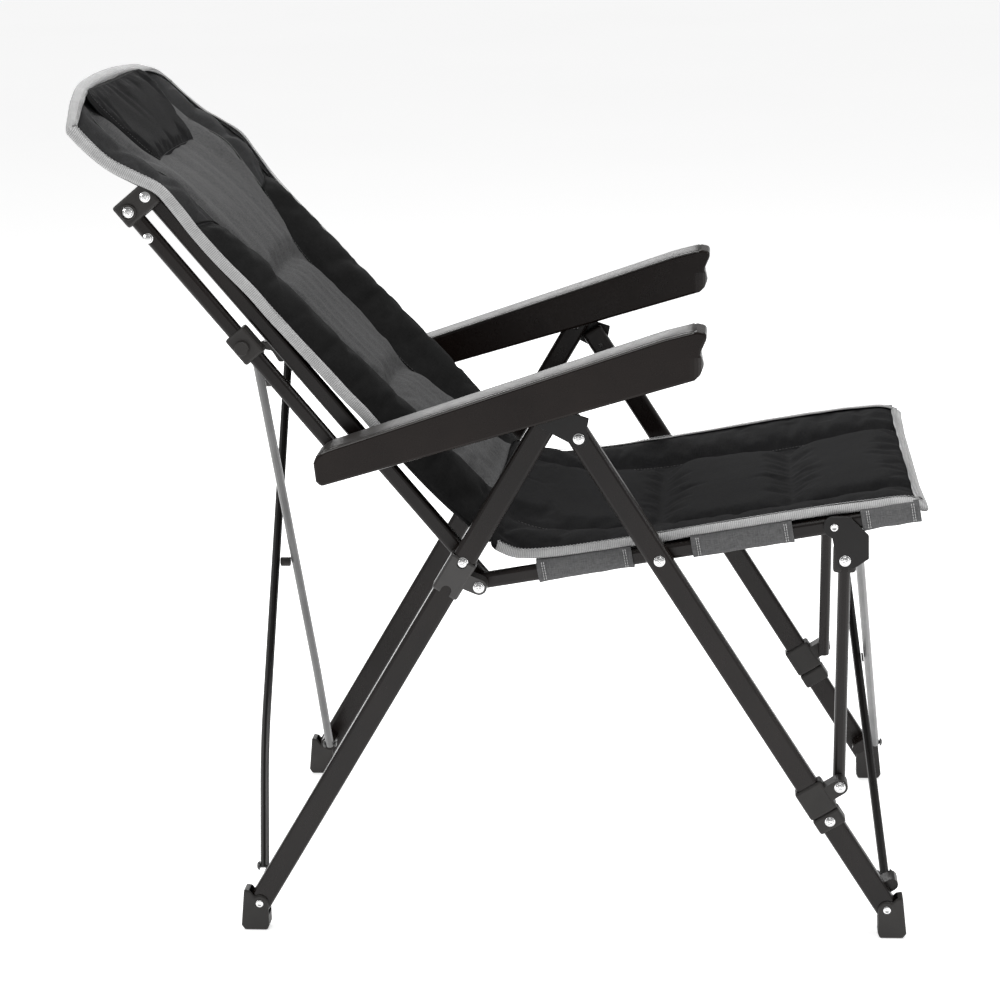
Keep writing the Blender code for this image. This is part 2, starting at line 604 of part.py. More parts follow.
def pads():
    clear = SEAT_TUBE[0] / 2 + PAD_THICKNESS / 2 + 0.0006
    length = math.dist(EAR_PIN, SEAT_FRONT_PIN)
    stations = [0.140, 0.230, 0.320, 0.420, length + 0.085, length + 0.108]
    line = [offset(EAR_PIN, SEAT_FRONT_PIN, s, clear) for s in stations]
    line[-1] = (line[-1][0], line[-1][1] - 0.004)
    line = [(-0.0150, 0.5185), (0.0050, 0.5015), (0.0350, 0.4880), (0.0750, 0.4810), *line]
    panel = pad_mesh(line, PAD_THICKNESS, PAD_HALF_WIDTH, sag=0.016)
    add_object("seat_pad", panel, at(SEAT_PIVOT, 0), SEAT_CLOTH)
    clear = BACK_TUBE[0] / 2 + PAD_THICKNESS / 2 + 0.0006
    length = math.dist(EAR_PIN, BACK_TUBE_TOP)
    stations = (0.30, 0.40, 0.50, length + 0.02)
    line = [offset(EAR_PIN, BACK_TUBE_TOP, s, -clear) for s in stations]
    curve = [(-0.0200, 0.5235), (-0.0397, 0.5411), (-0.0755, 0.5661), (-0.1104, 0.5995), (-0.1554, 0.6400)]
    line = [*curve, *line]
    line += [(-0.4200, 0.9480), (-0.4540, 0.9740), (-0.4830, 1.0010)]
    panel = pad_mesh(line, PAD_THICKNESS, PAD_HALF_WIDTH, rise=0.014)
    add_object("back_pad", panel, at(EAR_PIN, 0), BACK_CLOTH)
    direction = unit(line[-3], line[-1])
    left = np.array([-direction[1], direction[0]])
    middle = np.asarray(line[-2]) - direction * 0.012 - left * (PAD_THICKNESS / 2 + 0.011 + 0.0035)
    stations = [tuple(middle + direction * s) for s in (-0.052, -0.040, 0.0, 0.040, 0.052)]
    add_object("head_pillow", pad_mesh(stations, 0.022, 0.115), at(tuple(middle), 0), SEAT_CLOTH)


clear_scene()
for side_tag, side_sign in SIDES:
    legs_and_feet(side_tag, side_sign)
    front_sliders(side_tag, side_sign)
    rear_clamp(side_tag, side_sign)
    seat_side(side_tag, side_sign)
    back_side(side_tag, side_sign)
    armrest(side_tag, side_sign)
brace_pair("front", FRONT_BRACE_LOW, FRONT_BRACE_HIGH, FRONT_BRACE_LANE, 0.007, 0.009)
rear_run = (REAR_BRACE_LOW, BACK_SLIDER, REAR_BRACE_LANE)
rear_normal = brace_pair("rear", *rear_run, 0.012, 0.009, REAR_BRACE_BACK, 0.008)
transport_catch(rear_normal)
pads()
bpy.context.view_layer.update()
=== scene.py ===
"""Looks for the high-back folding camp armchair: cloth, stitching, mouldings, fasteners, light and camera.

Units are metres in the row frame: +X is the front, +Y the sitter's left, +Z up.
"""

import math

import bmesh
import bpy
import numpy as np
from mathutils import Matrix, Vector, noise


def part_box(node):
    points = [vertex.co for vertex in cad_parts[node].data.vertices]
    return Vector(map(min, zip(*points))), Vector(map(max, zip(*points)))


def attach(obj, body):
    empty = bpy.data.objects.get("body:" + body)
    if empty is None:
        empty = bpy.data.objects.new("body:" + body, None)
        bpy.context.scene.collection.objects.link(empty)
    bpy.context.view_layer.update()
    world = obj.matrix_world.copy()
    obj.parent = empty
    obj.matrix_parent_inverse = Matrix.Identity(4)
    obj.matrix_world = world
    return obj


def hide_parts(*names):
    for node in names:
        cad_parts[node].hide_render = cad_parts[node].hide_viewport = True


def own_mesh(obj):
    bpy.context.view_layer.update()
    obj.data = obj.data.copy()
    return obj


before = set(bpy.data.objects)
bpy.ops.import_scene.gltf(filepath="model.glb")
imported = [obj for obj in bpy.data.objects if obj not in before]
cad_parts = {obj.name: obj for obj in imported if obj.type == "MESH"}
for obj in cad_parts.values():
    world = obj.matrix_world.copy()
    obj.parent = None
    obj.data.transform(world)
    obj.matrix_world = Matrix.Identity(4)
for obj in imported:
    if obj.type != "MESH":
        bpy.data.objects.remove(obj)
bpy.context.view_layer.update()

# Side-view points (x, z) that the CAD frame's tubes run through. SHIFT centres the chair front to back.
SHIFT = -0.0010
FRONT_FOOT = (0.4635 + SHIFT, 0.0372)
REAR_FOOT = (-0.2990 + SHIFT, 0.0353)
COLLAR = (0.3938 + SHIFT, 0.1507)
EAR_PIN = (-0.0201 + SHIFT, 0.4410)
SEAT_FRONT_PIN = (0.3947 + SHIFT, 0.5110)
BACK_TUBE_TOP = (-0.3939 + SHIFT, 0.9002)
RAIL_STOP = (-0.3939 + SHIFT, 0.8519)
SIDES = (("r", -1), ("l", 1))

# How far from the middle plane the faces under the fasteners are, and the middle of a seat tube.
LEG_FACE, FOOT_FACE = 0.2706, 0.2711
SEAT_BRACKET_FACE, TOP_BRACKET_FACE, RAIL_FACE = 0.2548, 0.2505, 0.2467
SEAT_TUBE_MIDDLE = 0.242

# The pads: how deep a seam dips, how far the cloth takes to climb out of it, and how the edges roll.
SEAM_DIP, SEAM_CLIMB_OUT = 0.0016, 0.013
TOP_ROLL, UNDER_ROLL, EDGE_DEPTH = 0.020, 0.016, 0.003
CLOTH_STEPS = 20


# ---------------------------------------------------------------- materials


class Nodes:
    """A material under construction: short calls that add nodes and link them."""

    def __init__(self, name, roughness=0.5, metallic=0.0, specular=0.5, coat=0.0):
        self.material = bpy.data.materials.new(name)
        self.material.use_nodes = True
        self.tree = self.material.node_tree
        self.shader = self.tree.nodes["Principled BSDF"]
        self.set(self.shader, "Roughness", roughness)
        self.set(self.shader, "Metallic", metallic)
        self.set(self.shader, "Specular IOR Level", specular)
        self.set(self.shader, "Coat Weight", coat)
        self.set(self.shader, "Coat Roughness", 0.25)
        self.place = self.add("ShaderNodeTexCoord")

    def add(self, kind, **values):
        node = self.tree.nodes.new(kind)
        for key, value in values.items():
            if hasattr(node, key):
                setattr(node, key, value)
            else:
                self.set(node, key.replace("_", " "), value)
        return node

    def set(self, node, socket, value):
        node.inputs[socket].default_value = value

    def link(self, source, target, socket):
        output = source if isinstance(source, bpy.types.NodeSocket) else source.outputs[0]
        self.tree.links.new(output, target.inputs[socket])
        return target

    def mapping(self, scale, space="Object"):
        node = self.add("ShaderNodeMapping")
        self.set(node, "Scale", scale)
        self.link(self.place.outputs[space], node, "Vector")
        return node

    def noise(self, scale, detail=3.0, stretch=(1, 1, 1), space="Object", rough=0.55):
        node = self.add("ShaderNodeTexNoise")
        self.set(node, "Scale", scale)
        self.set(node, "Detail", detail)
        self.set(node, "Roughness", rough)
        return self.link(self.mapping(stretch, space), node, "Vector")

    def ramp(self, source, stops):
        node = self.add("ShaderNodeValToRGB")
        ramp = node.color_ramp
        while len(ramp.elements) < len(stops):
            ramp.elements.new(0.5)
        for element, (place, colour) in zip(ramp.elements, stops):
            element.position = place
            element.color = (*colour, 1.0) if hasattr(colour, "__len__") else (colour, colour, colour, 1.0)
        return self.link(source, node, "Fac")

    def rescale(self, source, low, high):
        node = self.add("ShaderNodeMapRange")
        self.set(node, "To Min", low)
        self.set(node, "To Max", high)
        return self.link(source, node, "Value")

    def maths(self, operation, first, second):
        node = self.add("ShaderNodeMath", operation=operation)
        for index, source in enumerate((first, second)):
            if isinstance(source, (int, float)):
                node.inputs[index].default_value = source
            else:
                self.tree.links.new(source.outputs[0], node.inputs[index])
        return node

    def wave(self, period, axis, space="UV"):
        node = self.add("ShaderNodeTexWave", wave_type="BANDS", bands_direction=axis, wave_profile="SIN")
        self.set(node, "Scale", 0.31416 / period)
        self.link(self.mapping((1, 1, 1), space), node, "Vector")
        return node

    def mix(self, factor, first, second):
        node = self.add("ShaderNodeMix", data_type="RGBA")
        self.tree.links.new(factor.outputs[0], node.inputs[0])
        for index, source in ((6, first), (7, second)):
            if hasattr(source, "__len__"):
                node.inputs[index].default_value = (*source, 1.0)
            else:
                output = source.outputs[2] if source.bl_idname == "ShaderNodeMix" else source.outputs[0]
                self.tree.links.new(output, node.inputs[index])
        return node

    def colour(self, source):
        output = source.outputs[2] if source.bl_idname == "ShaderNodeMix" else source.outputs[0]
        self.tree.links.new(output, self.shader.inputs["Base Color"])

    def bump(self, layers):
        """layers is (height node, strength, distance) for each bump, coarse to fine."""
        before = None
        for source, strength, distance in layers:
            node = self.add("ShaderNodeBump")
            self.set(node, "Strength", strength)
            self.set(node, "Distance", distance)
            self.link(source, node, "Height")
            if before:
                self.link(before, node, "Normal")
            before = node
        self.link(before, self.shader, "Normal")


def coated_metal(name, dark, light, roughness, specular=0.5):
    """Powder-coated tube: fine orange peel, faint mottling and scuffs that catch the light."""
    m = Nodes(name, roughness, 0.0, specular, 0.06)
    mottle = m.noise(9, 4)
    m.colour(m.ramp(mottle, ((0.35, dark), (0.7, light))))
    scuffs = m.noise(40, 6, (1, 1, 0.25), rough=0.7)
    m.link(m.rescale(scuffs, roughness - 0.07, roughness + 0.13), m.shader, "Roughness")
    m.bump(((scuffs, 0.05, 0.0006), (m.noise(1400, 2), 0.16, 0.00035)))
    return m.material


def moulded_plastic(name, dark, light, roughness, grain=0.25, specular=0.45):
    """Injection-moulded part: a fine spark-eroded grain, with slight wear in its sheen."""
    m = Nodes(name, roughness, 0.0, specular)
    m.colour(m.ramp(m.noise(14, 4), ((0.3, dark), (0.75, light))))
    m.link(m.rescale(m.noise(55, 5, rough=0.7), roughness - 0.08, roughness + 0.12), m.shader, "Roughness")
    m.bump(((m.noise(2200, 2), grain, 0.0003), (m.noise(160, 3), 0.06, 0.0004)))
    return m.material


def plated_metal(name, tint, roughness):
    """Zinc or chrome plate with hairline turning marks."""
    m = Nodes(name, roughness, 1.0, 0.5)
    m.colour(m.ramp(m.noise(300, 4), ((0.3, tuple(c * 0.82 for c in tint)), (0.7, tint))))
    marks = m.noise(900, 3, (1, 0.1, 1))
    m.link(m.rescale(marks, roughness * 0.7, roughness * 1.5), m.shader, "Roughness")
    m.bump(((marks, 0.015, 0.0002),))
    return m.material


def woven_cloth(name, dark, light, pitch=0.0013, heather=0.5, relief=0.5):
    """Plain-weave cloth: crossing threads, slubs along each thread and a slow fading of the dye."""
    m = Nodes(name, 0.88, 0.0, 0.07)
    warp, weft = m.wave(pitch, "X"), m.wave(pitch, "Y")
    weave = m.maths("MULTIPLY", warp, weft)
    slubs = m.noise(900, 3, (1, 0.12, 1), "UV", 0.7)
    cross = m.noise(900, 3, (0.12, 1, 1), "UV", 0.7)
    threads = m.maths("ADD", slubs, cross)
    tone = m.maths("MULTIPLY", threads, 0.5)
    middle = tuple(a + (b - a) * 0.5 for a, b in zip(dark, light))
    spread = 0.5 * heather
    base = m.ramp(tone, ((0.5 - spread * 0.5, dark), (0.5, middle), (0.5 + spread * 0.5, light)))
    faded = m.ramp(m.noise(7, 5, (1, 1, 1), "UV", 0.6), ((0.3, 0.0), (0.75, 0.35)))
    m.colour(m.mix(faded, base, light))
    m.link(m.rescale(tone, 0.78, 0.98), m.shader, "Roughness")
    m.bump(((m.noise(70, 4, (1, 1, 1), "UV"), 0.10, 0.0015), (tone, 0.25, 0.0004), (weave, relief, 0.0005)))
    return m.material


def webbing(name, dark, light, pitch=0.0022, relief=0.8):
    """Ribbed binding tape: ribs across it, crossed by a fine thread."""
    m = Nodes(name, 0.85, 0.0, 0.15)
    ribs = m.wave(pitch, "Y")
    fine = m.wave(pitch * 0.45, "X")
    grime = m.noise(45, 5, (1, 1, 1), "UV", 0.65)
    tone = m.maths("MULTIPLY", m.maths("ADD", ribs, grime), 0.5)
    m.colour(m.ramp(tone, ((0.2, dark), (0.8, light))))
    m.bump(((grime, 0.2, 0.001), (fine, 0.2, 0.0003), (ribs, relief, 0.0006)))
    return m.material


TUBE = coated_metal("tube_powder_coat", (0.0040, 0.0026, 0.0022), (0.0080, 0.0054, 0.0046), 0.25, 0.26)
BRACE_DARK = coated_metal("brace_powder_coat", (0.0060, 0.0054, 0.0052), (0.013, 0.012, 0.0115), 0.27, 0.28)
# The second brace of each crossed pair has the same dark coat as the first. Its lighter grey here is painted
# light, standing for the lit side of the tube.
BRACE_PAINTED_LIGHT = coated_metal("brace_coat_painted_light", (0.085,) * 3, (0.14,) * 3, 0.32)
PLATE_BLACK = coated_metal("bracket_coat", (0.0045, 0.0040, 0.0040), (0.0085, 0.0075, 0.0075), 0.34, 0.26)
CLAMP = coated_metal("clamp_coat", (0.017, 0.016, 0.0155), (0.032, 0.030, 0.029), 0.33, 0.45)
PLASTIC = moulded_plastic("moulded_dark", (0.014, 0.0128, 0.0120), (0.026, 0.024, 0.0225), 0.42, 0.25, 0.3)
ARM_PLASTIC = moulded_plastic(
    "armrest_moulding", (0.0062, 0.0038, 0.0031), (0.0105, 0.0070, 0.0058), 0.26, 0.12, 0.20
)
ARM_GRIP = moulded_plastic("armrest_grip", (0.0135, 0.0120, 0.0115), (0.026, 0.024, 0.0225), 0.46, 0.30, 0.3)
ARM_EDGE = moulded_plastic("armrest_edge", (0.02, 0.018, 0.017), (0.03, 0.028, 0.026), 0.20, 0.04, 0.7)
CHROME = plated_metal("fastener_plate", (0.80,) * 3, 0.14)
DARK_STEEL = plated_metal("recess_steel", (0.12,) * 3, 0.4)
SEAT_BLACK = woven_cloth("cloth_black", (0.0036, 0.0036, 0.0038), (0.0125, 0.0125, 0.013), relief=0.35)
PANEL_BLACK = woven_cloth("cloth_side_black", (0.0038,) * 3, (0.0110,) * 3, 0.0011, relief=0.3)
CHARCOAL = woven_cloth("cloth_charcoal", (0.026,) * 3, (0.094, 0.094, 0.095), heather=0.7)
CHARCOAL_SIDE = woven_cloth("cloth_charcoal_side", (0.012,) * 3, (0.036, 0.036, 0.037), heather=0.7)
BACKING = woven_cloth("cloth_backing", (0.0036,) * 3, (0.010,) * 3, 0.0016)
SLEEVE = woven_cloth("cloth_sleeve", (0.065, 0.065, 0.066), (0.14, 0.14, 0.142), 0.0014, relief=0.6)
BINDING = webbing("binding_tape", (0.26,) * 3, (0.50,) * 3)
THREAD = woven_cloth("thread_light", (0.45,) * 3, (0.70,) * 3, 0.0008, relief=0.8)
THREAD_DARK = woven_cloth("thread_dark", (0.006,) * 3, (0.014,) * 3, 0.0008)
THREAD_GREY = woven_cloth("thread_grey", (0.06,) * 3, (0.11,) * 3, 0.0008)


# ---------------------------------------------------------------- mesh helpers


def put(name, data, material, body):
    """Makes a piece of (vertices, faces, uv), where uv gives (u, v) in metres for each vertex."""
    vertices, faces, uv = data
    mesh = bpy.data.meshes.new(name)
    mesh.from_pydata([tuple(map(float, v)) for v in vertices], [], faces)
    mesh.validate()
    layer = mesh.uv_layers.new(name="cloth")
    index = np.zeros(len(mesh.loops), np.int32)
    mesh.loops.foreach_get("vertex_index", index)
    layer.data.foreach_set("uv", np.asarray(uv, np.float32)[index].ravel())
    for item in material if isinstance(material, list) else [material]:
        mesh.materials.append(item)
    mesh.polygons.foreach_set("use_smooth", [True] * len(mesh.polygons))
    obj = bpy.data.objects.new(name, mesh)
    bpy.context.scene.collection.objects.link(obj)
    if body:
        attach(obj, body)
    return obj


def close_up(obj):
    """Turns every face of a closed piece outwards."""
    bm = bmesh.new()
    bm.from_mesh(obj.data)
    bmesh.ops.recalc_face_normals(bm, faces=bm.faces)
    bm.to_mesh(obj.data)
    bm.free()
    return obj


def grid_faces(rows, columns, start=0, wrap=False):
    """Four-sided faces over a grid of vertices. wrap joins the last column to the first."""
    faces = []
    for i in range(rows - 1):
        low = start + i * columns
        high = low + columns
        for k in range(columns if wrap else columns - 1):
            k2 = (k + 1) % columns
            faces.append((low + k, low + k2, high + k2, high + k))
    return faces


def loft_faces(rings, sides):
    """The faces of a closed solid lofted through rings of vertices."""
    last = (rings - 1) * sides
    caps = [tuple(range(sides))[::-1], tuple(range(last, last + sides))]
    return grid_faces(rings, sides, 0, True) + caps


def outer_ring(rows, columns):
    """The indices round the edge of a grid, in order."""
    ring = list(range(columns)) + [i * columns + columns - 1 for i in range(1, rows)]
    ring += [(rows - 1) * columns + k for k in range(columns - 2, -1, -1)]
    ring += [i * columns for i in range(rows - 2, 0, -1)]
    return ring


def pad_faces(rows, columns):
    """A grid on top, the same grid underneath, and a wall that joins their edges."""
    count = rows * columns
    faces = grid_faces(rows, columns) + [face[::-1] for face in grid_faces(rows, columns, count)]
    ring = outer_ring(rows, columns)
    for first, second in zip(ring, ring[1:] + ring[:1]):
        faces.append((second, first, count + first, count + second))
    return faces


def unit(vector):
    return vector / np.linalg.norm(vector)


def distance_run(points):
    """How far along a path each of its points lies."""
    steps = np.linalg.norm(np.diff(np.asarray(points, float), axis=0), axis=1)
    return np.concatenate([[0], np.cumsum(steps)])


def tube_data(path, radius, sides=6):
    """(vertices, faces, uv) of a round closed solid along a path of points."""
    path = np.asarray(path, float)
    ahead = np.gradient(path, axis=0)
    ahead /= np.linalg.norm(ahead, axis=1)[:, None] + 1e-12
    across = unit(np.cross(ahead[0], (0.3, 0.5, 0.8)))
    vertices, uv = [], []
    travelled = distance_run(path)
    radii = np.full(len(path), radius) if np.isscalar(radius) else np.asarray(radius)
    for i, point in enumerate(path):
        across = unit(across - ahead[i] * across.dot(ahead[i]))
        other = np.cross(ahead[i], across)
        for k in range(sides):
            a = 2 * math.pi * k / sides
            vertices.append(point + (across * math.cos(a) + other * math.sin(a)) * radii[i])
            uv.append((radii[i] * a, travelled[i]))
    return vertices, loft_faces(len(path), sides), uv


def gather(parts):
    """Joins several (vertices, faces, uv) into one."""
    vertices, faces, uv = [], [], []
    for more_vertices, more_faces, more_uv in parts:
        start = len(vertices)
        vertices += list(more_vertices)
        faces += [tuple(start + i for i in face) for face in more_faces]
        uv += list(more_uv)
    return vertices, faces, uv


def turned(profile, centre, direction, sides=28):
    """(vertices, faces, uv) of a turned solid: profile is (distance, radius) from one end to the other."""
    axis = unit(np.asarray(direction, float))
    across = unit(np.cross(axis, (0.31, 0.2, 0.9)))
    other = np.cross(axis, across)
    vertices, uv = [], []
    for distance, radius in profile:
        for k in range(sides):
            a = 2 * math.pi * k / sides
            spoke = across * math.cos(a) + other * math.sin(a)
            vertices.append(np.asarray(centre) + axis * distance + spoke * max(radius, 1e-5))
            uv.append((radius * a, distance))
    return vertices, loft_faces(len(profile), sides), uv


def side_view(start, end, s, off):
    """The (x, z) this far from start towards end, and sideways to the left of that direction."""
    a, b = np.asarray(start, float), np.asarray(end, float)
    t = unit(b - a)
    return a + t * s + np.array([-t[1], t[0]]) * off


def catmull(values, t):
    """Smooth values at t, where t counts along the rows of values."""
    values = np.asarray(values, float)
    count = len(values)
    i = int(min(max(math.floor(t), 0), count - 2))
    f = min(max(t - i, 0.0), 1.0)
    p1, p2 = values[i], values[i + 1]
    p0 = values[i - 1] if i > 0 else 2 * p1 - p2
    p3 = values[i + 2] if i + 2 < count else 2 * p2 - p1
    square = (2 * p0 - 5 * p1 + 4 * p2 - p3) * f**2
    cube = (3 * p1 - p0 - 3 * p2 + p3) * f**3
    return 0.5 * (2 * p1 + (p2 - p0) * f + square + cube)


class Panel:
    """A cloth surface between the two sides: rows of side-view points at fixed shares of the half width."""

    def __init__(self, shares, rows, widths, facing):
        self.shares = shares
        self.facing = facing
        self.rows = np.asarray(rows, float)
        self.widths = np.asarray(widths, float)
        self.run = distance_run(self.rows[:, 0])
        self.length = float(self.run[-1])

    def row(self, s):
        return float(np.interp(s, self.run, np.arange(len(self.run))))

    def half(self, s):
        return float(catmull(self.widths[:, None], self.row(s))[0])

    def point(self, y, s, out=0.0):
        """The world point at y and s along the middle, and out along the surface's normal."""
        place = self._flat(y, s)
        if out:
            place = place + self.normal(y, s) * out
        return place

    def _flat(self, y, s):
        t = self.row(s)
        share = min(abs(y) / self.half(s), 1.06)
        knots = catmull(self.rows, t)
        place = np.interp(min(share, 1.0), self.shares, np.arange(len(self.shares)))
        mirrored = np.concatenate([knots[1:2], knots])
        side = catmull(mirrored, place + 1)
        return np.array([side[0], y, side[1]])

    def normal(self, y, s):
        e = 0.004
        along = self._flat(y, min(s + e, self.length)) - self._flat(y, max(s - e, 0))
        limit = self.half(s)
        low, high = max(y - e, -limit), min(y + e, limit)
        across = self._flat(high, s) - self._flat(low, s)
        n = np.cross(along, across) * self.facing
        return n / (np.linalg.norm(n) + 1e-12)


def level(s, middle, panel_edge, crest, rim):
    """The four points of a station that lie at the same s."""
    return (s, middle), (s, panel_edge), (s, crest), (s, rim)


def back_rows():
    """Station by station up the back: (s, off) from the back tube for middle, panel edge, crest and rim."""
    table = (
        ((0.056, -0.060), (0.056, -0.058), (0.045, -0.052), (0.028, -0.040), 0.240),
        ((0.080, -0.054), (0.080, -0.053), (0.072, -0.052), (0.060, -0.036), 0.242),
        ((0.105, -0.049), (0.105, -0.049), (0.100, -0.051), (0.095, -0.031), 0.243),
        (*level(0.135, -0.043, -0.044, -0.052, -0.027), 0.243),
        (*level(0.180, -0.036, -0.037, -0.053, -0.025), 0.243),
        (*level(0.232, -0.029, -0.030, -0.049, -0.025), 0.243),
        (*level(0.275, -0.025, -0.026, -0.045, -0.022), 0.243),
        (*level(0.317, -0.022, -0.022, -0.042, -0.021), 0.243),
        (*level(0.375, -0.019, -0.019, -0.039, -0.019), 0.243),
        (*level(0.428, -0.017, -0.018, -0.036, -0.018), 0.243),
        (*level(0.475, -0.015, -0.016, -0.031, -0.015), 0.243),
        (*level(0.520, -0.013, -0.014, -0.028, -0.014), 0.243),
        (*level(0.560, -0.008, -0.010, -0.026, -0.0165), 0.245),
        ((0.592, -0.001), (0.592, -0.004), (0.592, -0.025), (0.590, -0.0170), 0.250),
        ((0.625, 0.007), (0.625, 0.004), (0.624, -0.014), (0.618, -0.0070), 0.257),
        ((0.660, 0.011), (0.659, 0.008), (0.655, -0.004), (0.646, 0.004), 0.261),
        ((0.705, 0.011), (0.703, 0.009), (0.693, 0.001), (0.678, 0.010), 0.261),
        ((0.748, 0.006), (0.744, 0.006), (0.730, 0.004), (0.704, 0.012), 0.258),
    )
    rows = [[side_view(EAR_PIN, BACK_TUBE_TOP, *knot) for knot in row[:4]] for row in table]
    return rows, [row[4] for row in table]


def seat_rows():
    """Station by station along the seat from its rear: (s, off) from the seat tube."""
    table = (
        ((0.017, 0.074), (0.017, 0.072), (0.020, 0.058), (0.0215, 0.0425), 0.240),
        ((0.035, 0.055), (0.035, 0.053), (0.034, 0.043), (0.032, 0.034), 0.242),
        ((0.062, 0.037), (0.062, 0.035), (0.056, 0.034), (0.052, 0.0235), 0.243),
        ((0.100, 0.023), (0.100, 0.022), (0.096, 0.025), (0.094, 0.019), 0.243),
        (*level(0.146, 0.013, 0.013, 0.0205, 0.018), 0.243),
        (*level(0.204, 0.006, 0.007, 0.0150, 0.0185), 0.243),
        (*level(0.260, 0.004, 0.006, 0.0135, 0.019), 0.243),
        (*level(0.310, 0.003, 0.005, 0.0130, 0.0195), 0.243),
        (*level(0.366, 0.004, 0.005, 0.0130, 0.0195), 0.243),
        (*level(0.420, 0.005, 0.006, 0.0130, 0.019), 0.243),
        (*level(0.470, 0.007, 0.008, 0.0130, 0.017), 0.243),
        ((0.505, 0.008), (0.505, 0.009), (0.505, 0.0120), (0.507, 0.014), 0.242),
        ((0.528, -0.001), (0.528, 0.000), (0.529, 0.005), (0.531, 0.0025), 0.238),
    )
    rows = [[side_view(EAR_PIN, SEAT_FRONT_PIN, *knot) for knot in row[:4]] for row in table]
    return rows, [row[4] for row in table]


back = Panel((0.0, 0.43, 0.74, 1.0), *back_rows(), -1)
seat = Panel((0.0, 0.60, 0.86, 1.0), *seat_rows(), 1)


def polyline_distance(y, s, line):
    """Distance from (|y|, s) to a polyline, in metres."""
    line = np.asarray(line, float)
    a, b = line[:-1], line[1:]
    p = np.array([abs(y), s])
    d = b - a
    t = np.clip(((p - a) * d).sum(1) / (d**2).sum(1), 0, 1)
    return float(np.linalg.norm(a + d * t[:, None] - p, axis=1).min())


def fold_noise(y, s, across, along, seed):
    """Ridges that run along s: a value from -1 to 1."""
    value = noise.noise(Vector((y * across, s * along, seed)))
    finer = noise.noise(Vector((y * across * 2.3, s * along * 1.7, seed + 9.1)))
    return (1 - 2 * abs(value)) * 0.7 + (1 - 2 * abs(finer)) * 0.3


def relax_cloth(obj, pinned, start, cap, pressure, stretch):
    """Lets the top of a pad swell and pucker between its pinned seams, then keeps the result."""
    group = obj.vertex_groups.new(name="pinned")
    group.add([i for i, hold in enumerate(pinned) if hold], 1.0, "REPLACE")
    cloth = obj.modifiers.new("cloth", "CLOTH")
    settings = cloth.settings
    settings.quality = 6
    settings.mass = 0.25
    settings.tension_stiffness = 18
    settings.compression_stiffness = 12
    settings.shear_stiffness = 6
    settings.bending_stiffness = 0.12
    settings.use_pressure = True
    settings.uniform_pressure_force = pressure
    settings.shrink_min = -stretch
    settings.vertex_group_mass = "pinned"
    settings.effector_weights.gravity = 0
    cloth.collision_settings.use_collision = False
    cloth.point_cache.frame_start = 1
    cloth.point_cache.frame_end = CLOTH_STEPS
    for step in range(1, CLOTH_STEPS + 1):
        bpy.context.scene.frame_set(step)
    evaluated = obj.evaluated_get(bpy.context.evaluated_depsgraph_get())
    mesh = evaluated.to_mesh()
    moved = np.empty(len(mesh.vertices) * 3)
    mesh.vertices.foreach_get("co", moved)
    evaluated.to_mesh_clear()
    obj.modifiers.remove(cloth)
    obj.vertex_groups.remove(group)
    bpy.context.scene.frame_set(1)
    shift = moved.reshape(-1, 3) - start
    length = np.linalg.norm(shift, axis=1)
    shift *= np.minimum(1, cap / np.maximum(length, 1e-9))[:, None]
    obj.data.vertices.foreach_set("co", (start + shift).ravel())
    obj.data.update()


def seam_grid(panel, columns, rows, seam_y, split=0.0, lift=0.0):
    """(y, s) for each grid point. One column each side follows a lengthwise seam, |y| = seam_y(s).

    The row at split follows a seam too: outside that column it climbs by lift on its way to the edge.
    """
    lower = int(rows * split / panel.length)
    stations = np.linspace(0, split, lower, endpoint=False) if lower else np.zeros(0)
    stations = np.concatenate([stations, np.linspace(split, panel.length, rows - lower)])
    share = 0.56
    points = []
    for s in stations:
        half, border = panel.half(s), seam_y(s)
        for p in np.linspace(-1, 1, columns):
            outer = max(0.0, (abs(p) - share) / (1 - share))
            rolled = math.sin(outer * 1.41) / math.sin(1.41)
            y = border * min(1.0, abs(p) / share) + (half - border) * rolled
            climb = lift * outer * math.exp(-(((s - split) / 0.05) ** 2))
            points.append((math.copysign(y, p), min(panel.length, s + climb)))
    return points


def quilted(name, panel, shape, thickness, puff, sink, seams, tone, materials, body, folds, cap):
    """A padded panel: crowned between its seams, flat underneath, with a rolled edge all round."""
    columns, rows, places = shape
    vertices, pinned = [], []
    for y, s in places:
        half = panel.half(s)
        gap = max(0.0, min(half - abs(y), s, panel.length - s))
        near_seam = min([polyline_distance(y, s, line) for line in seams] + [1.0])
        rise = 1 - math.exp(-((min(near_seam, 0.05) / SEAM_CLIMB_OUT) ** 1.3))
        edge = min(1.0, gap / TOP_ROLL)
        edge = edge * (2 - edge)
        height = puff * (0.25 + 0.75 * rise) * edge - SEAM_DIP * (1 - rise)
        height += folds(y, s) * edge * (0.35 + 0.65 * rise) - sink * edge
        vertices.append(panel.point(y, s, height))
        pinned.append(near_seam < 0.0035 or gap < 0.013)
    count = len(vertices)
    for y, s in places:
        half = panel.half(s)
        gap = max(0.0, min(half - abs(y), s, panel.length - s))
        edge = min(1.0, gap / UNDER_ROLL)
        depth = EDGE_DEPTH + (thickness(abs(y) / half) - EDGE_DEPTH) * math.sqrt(edge * (2 - edge))
        vertices.append(panel.point(y, s, -depth - sink * min(1.0, gap / TOP_ROLL)))
        pinned.append(True)
    uv = list(places) * 2
    obj = close_up(put(name, (vertices, pad_faces(rows, columns), uv), materials, None))
    relax_cloth(obj, pinned, np.asarray(vertices, float), cap, 3.0, 0.035)
    middle = np.asarray(uv)
    for polygon in obj.data.polygons:
        points = list(polygon.vertices)
        y, s = middle[points].mean(0)
        polygon.material_index = len(materials) - 1 if min(points) >= count else tone(y, s)
    smooth = obj.modifiers.new("smooth", "SUBSURF")
    smooth.levels = smooth.render_levels = 1
    apply_modifiers(obj)
    return finish_soft(obj, body)


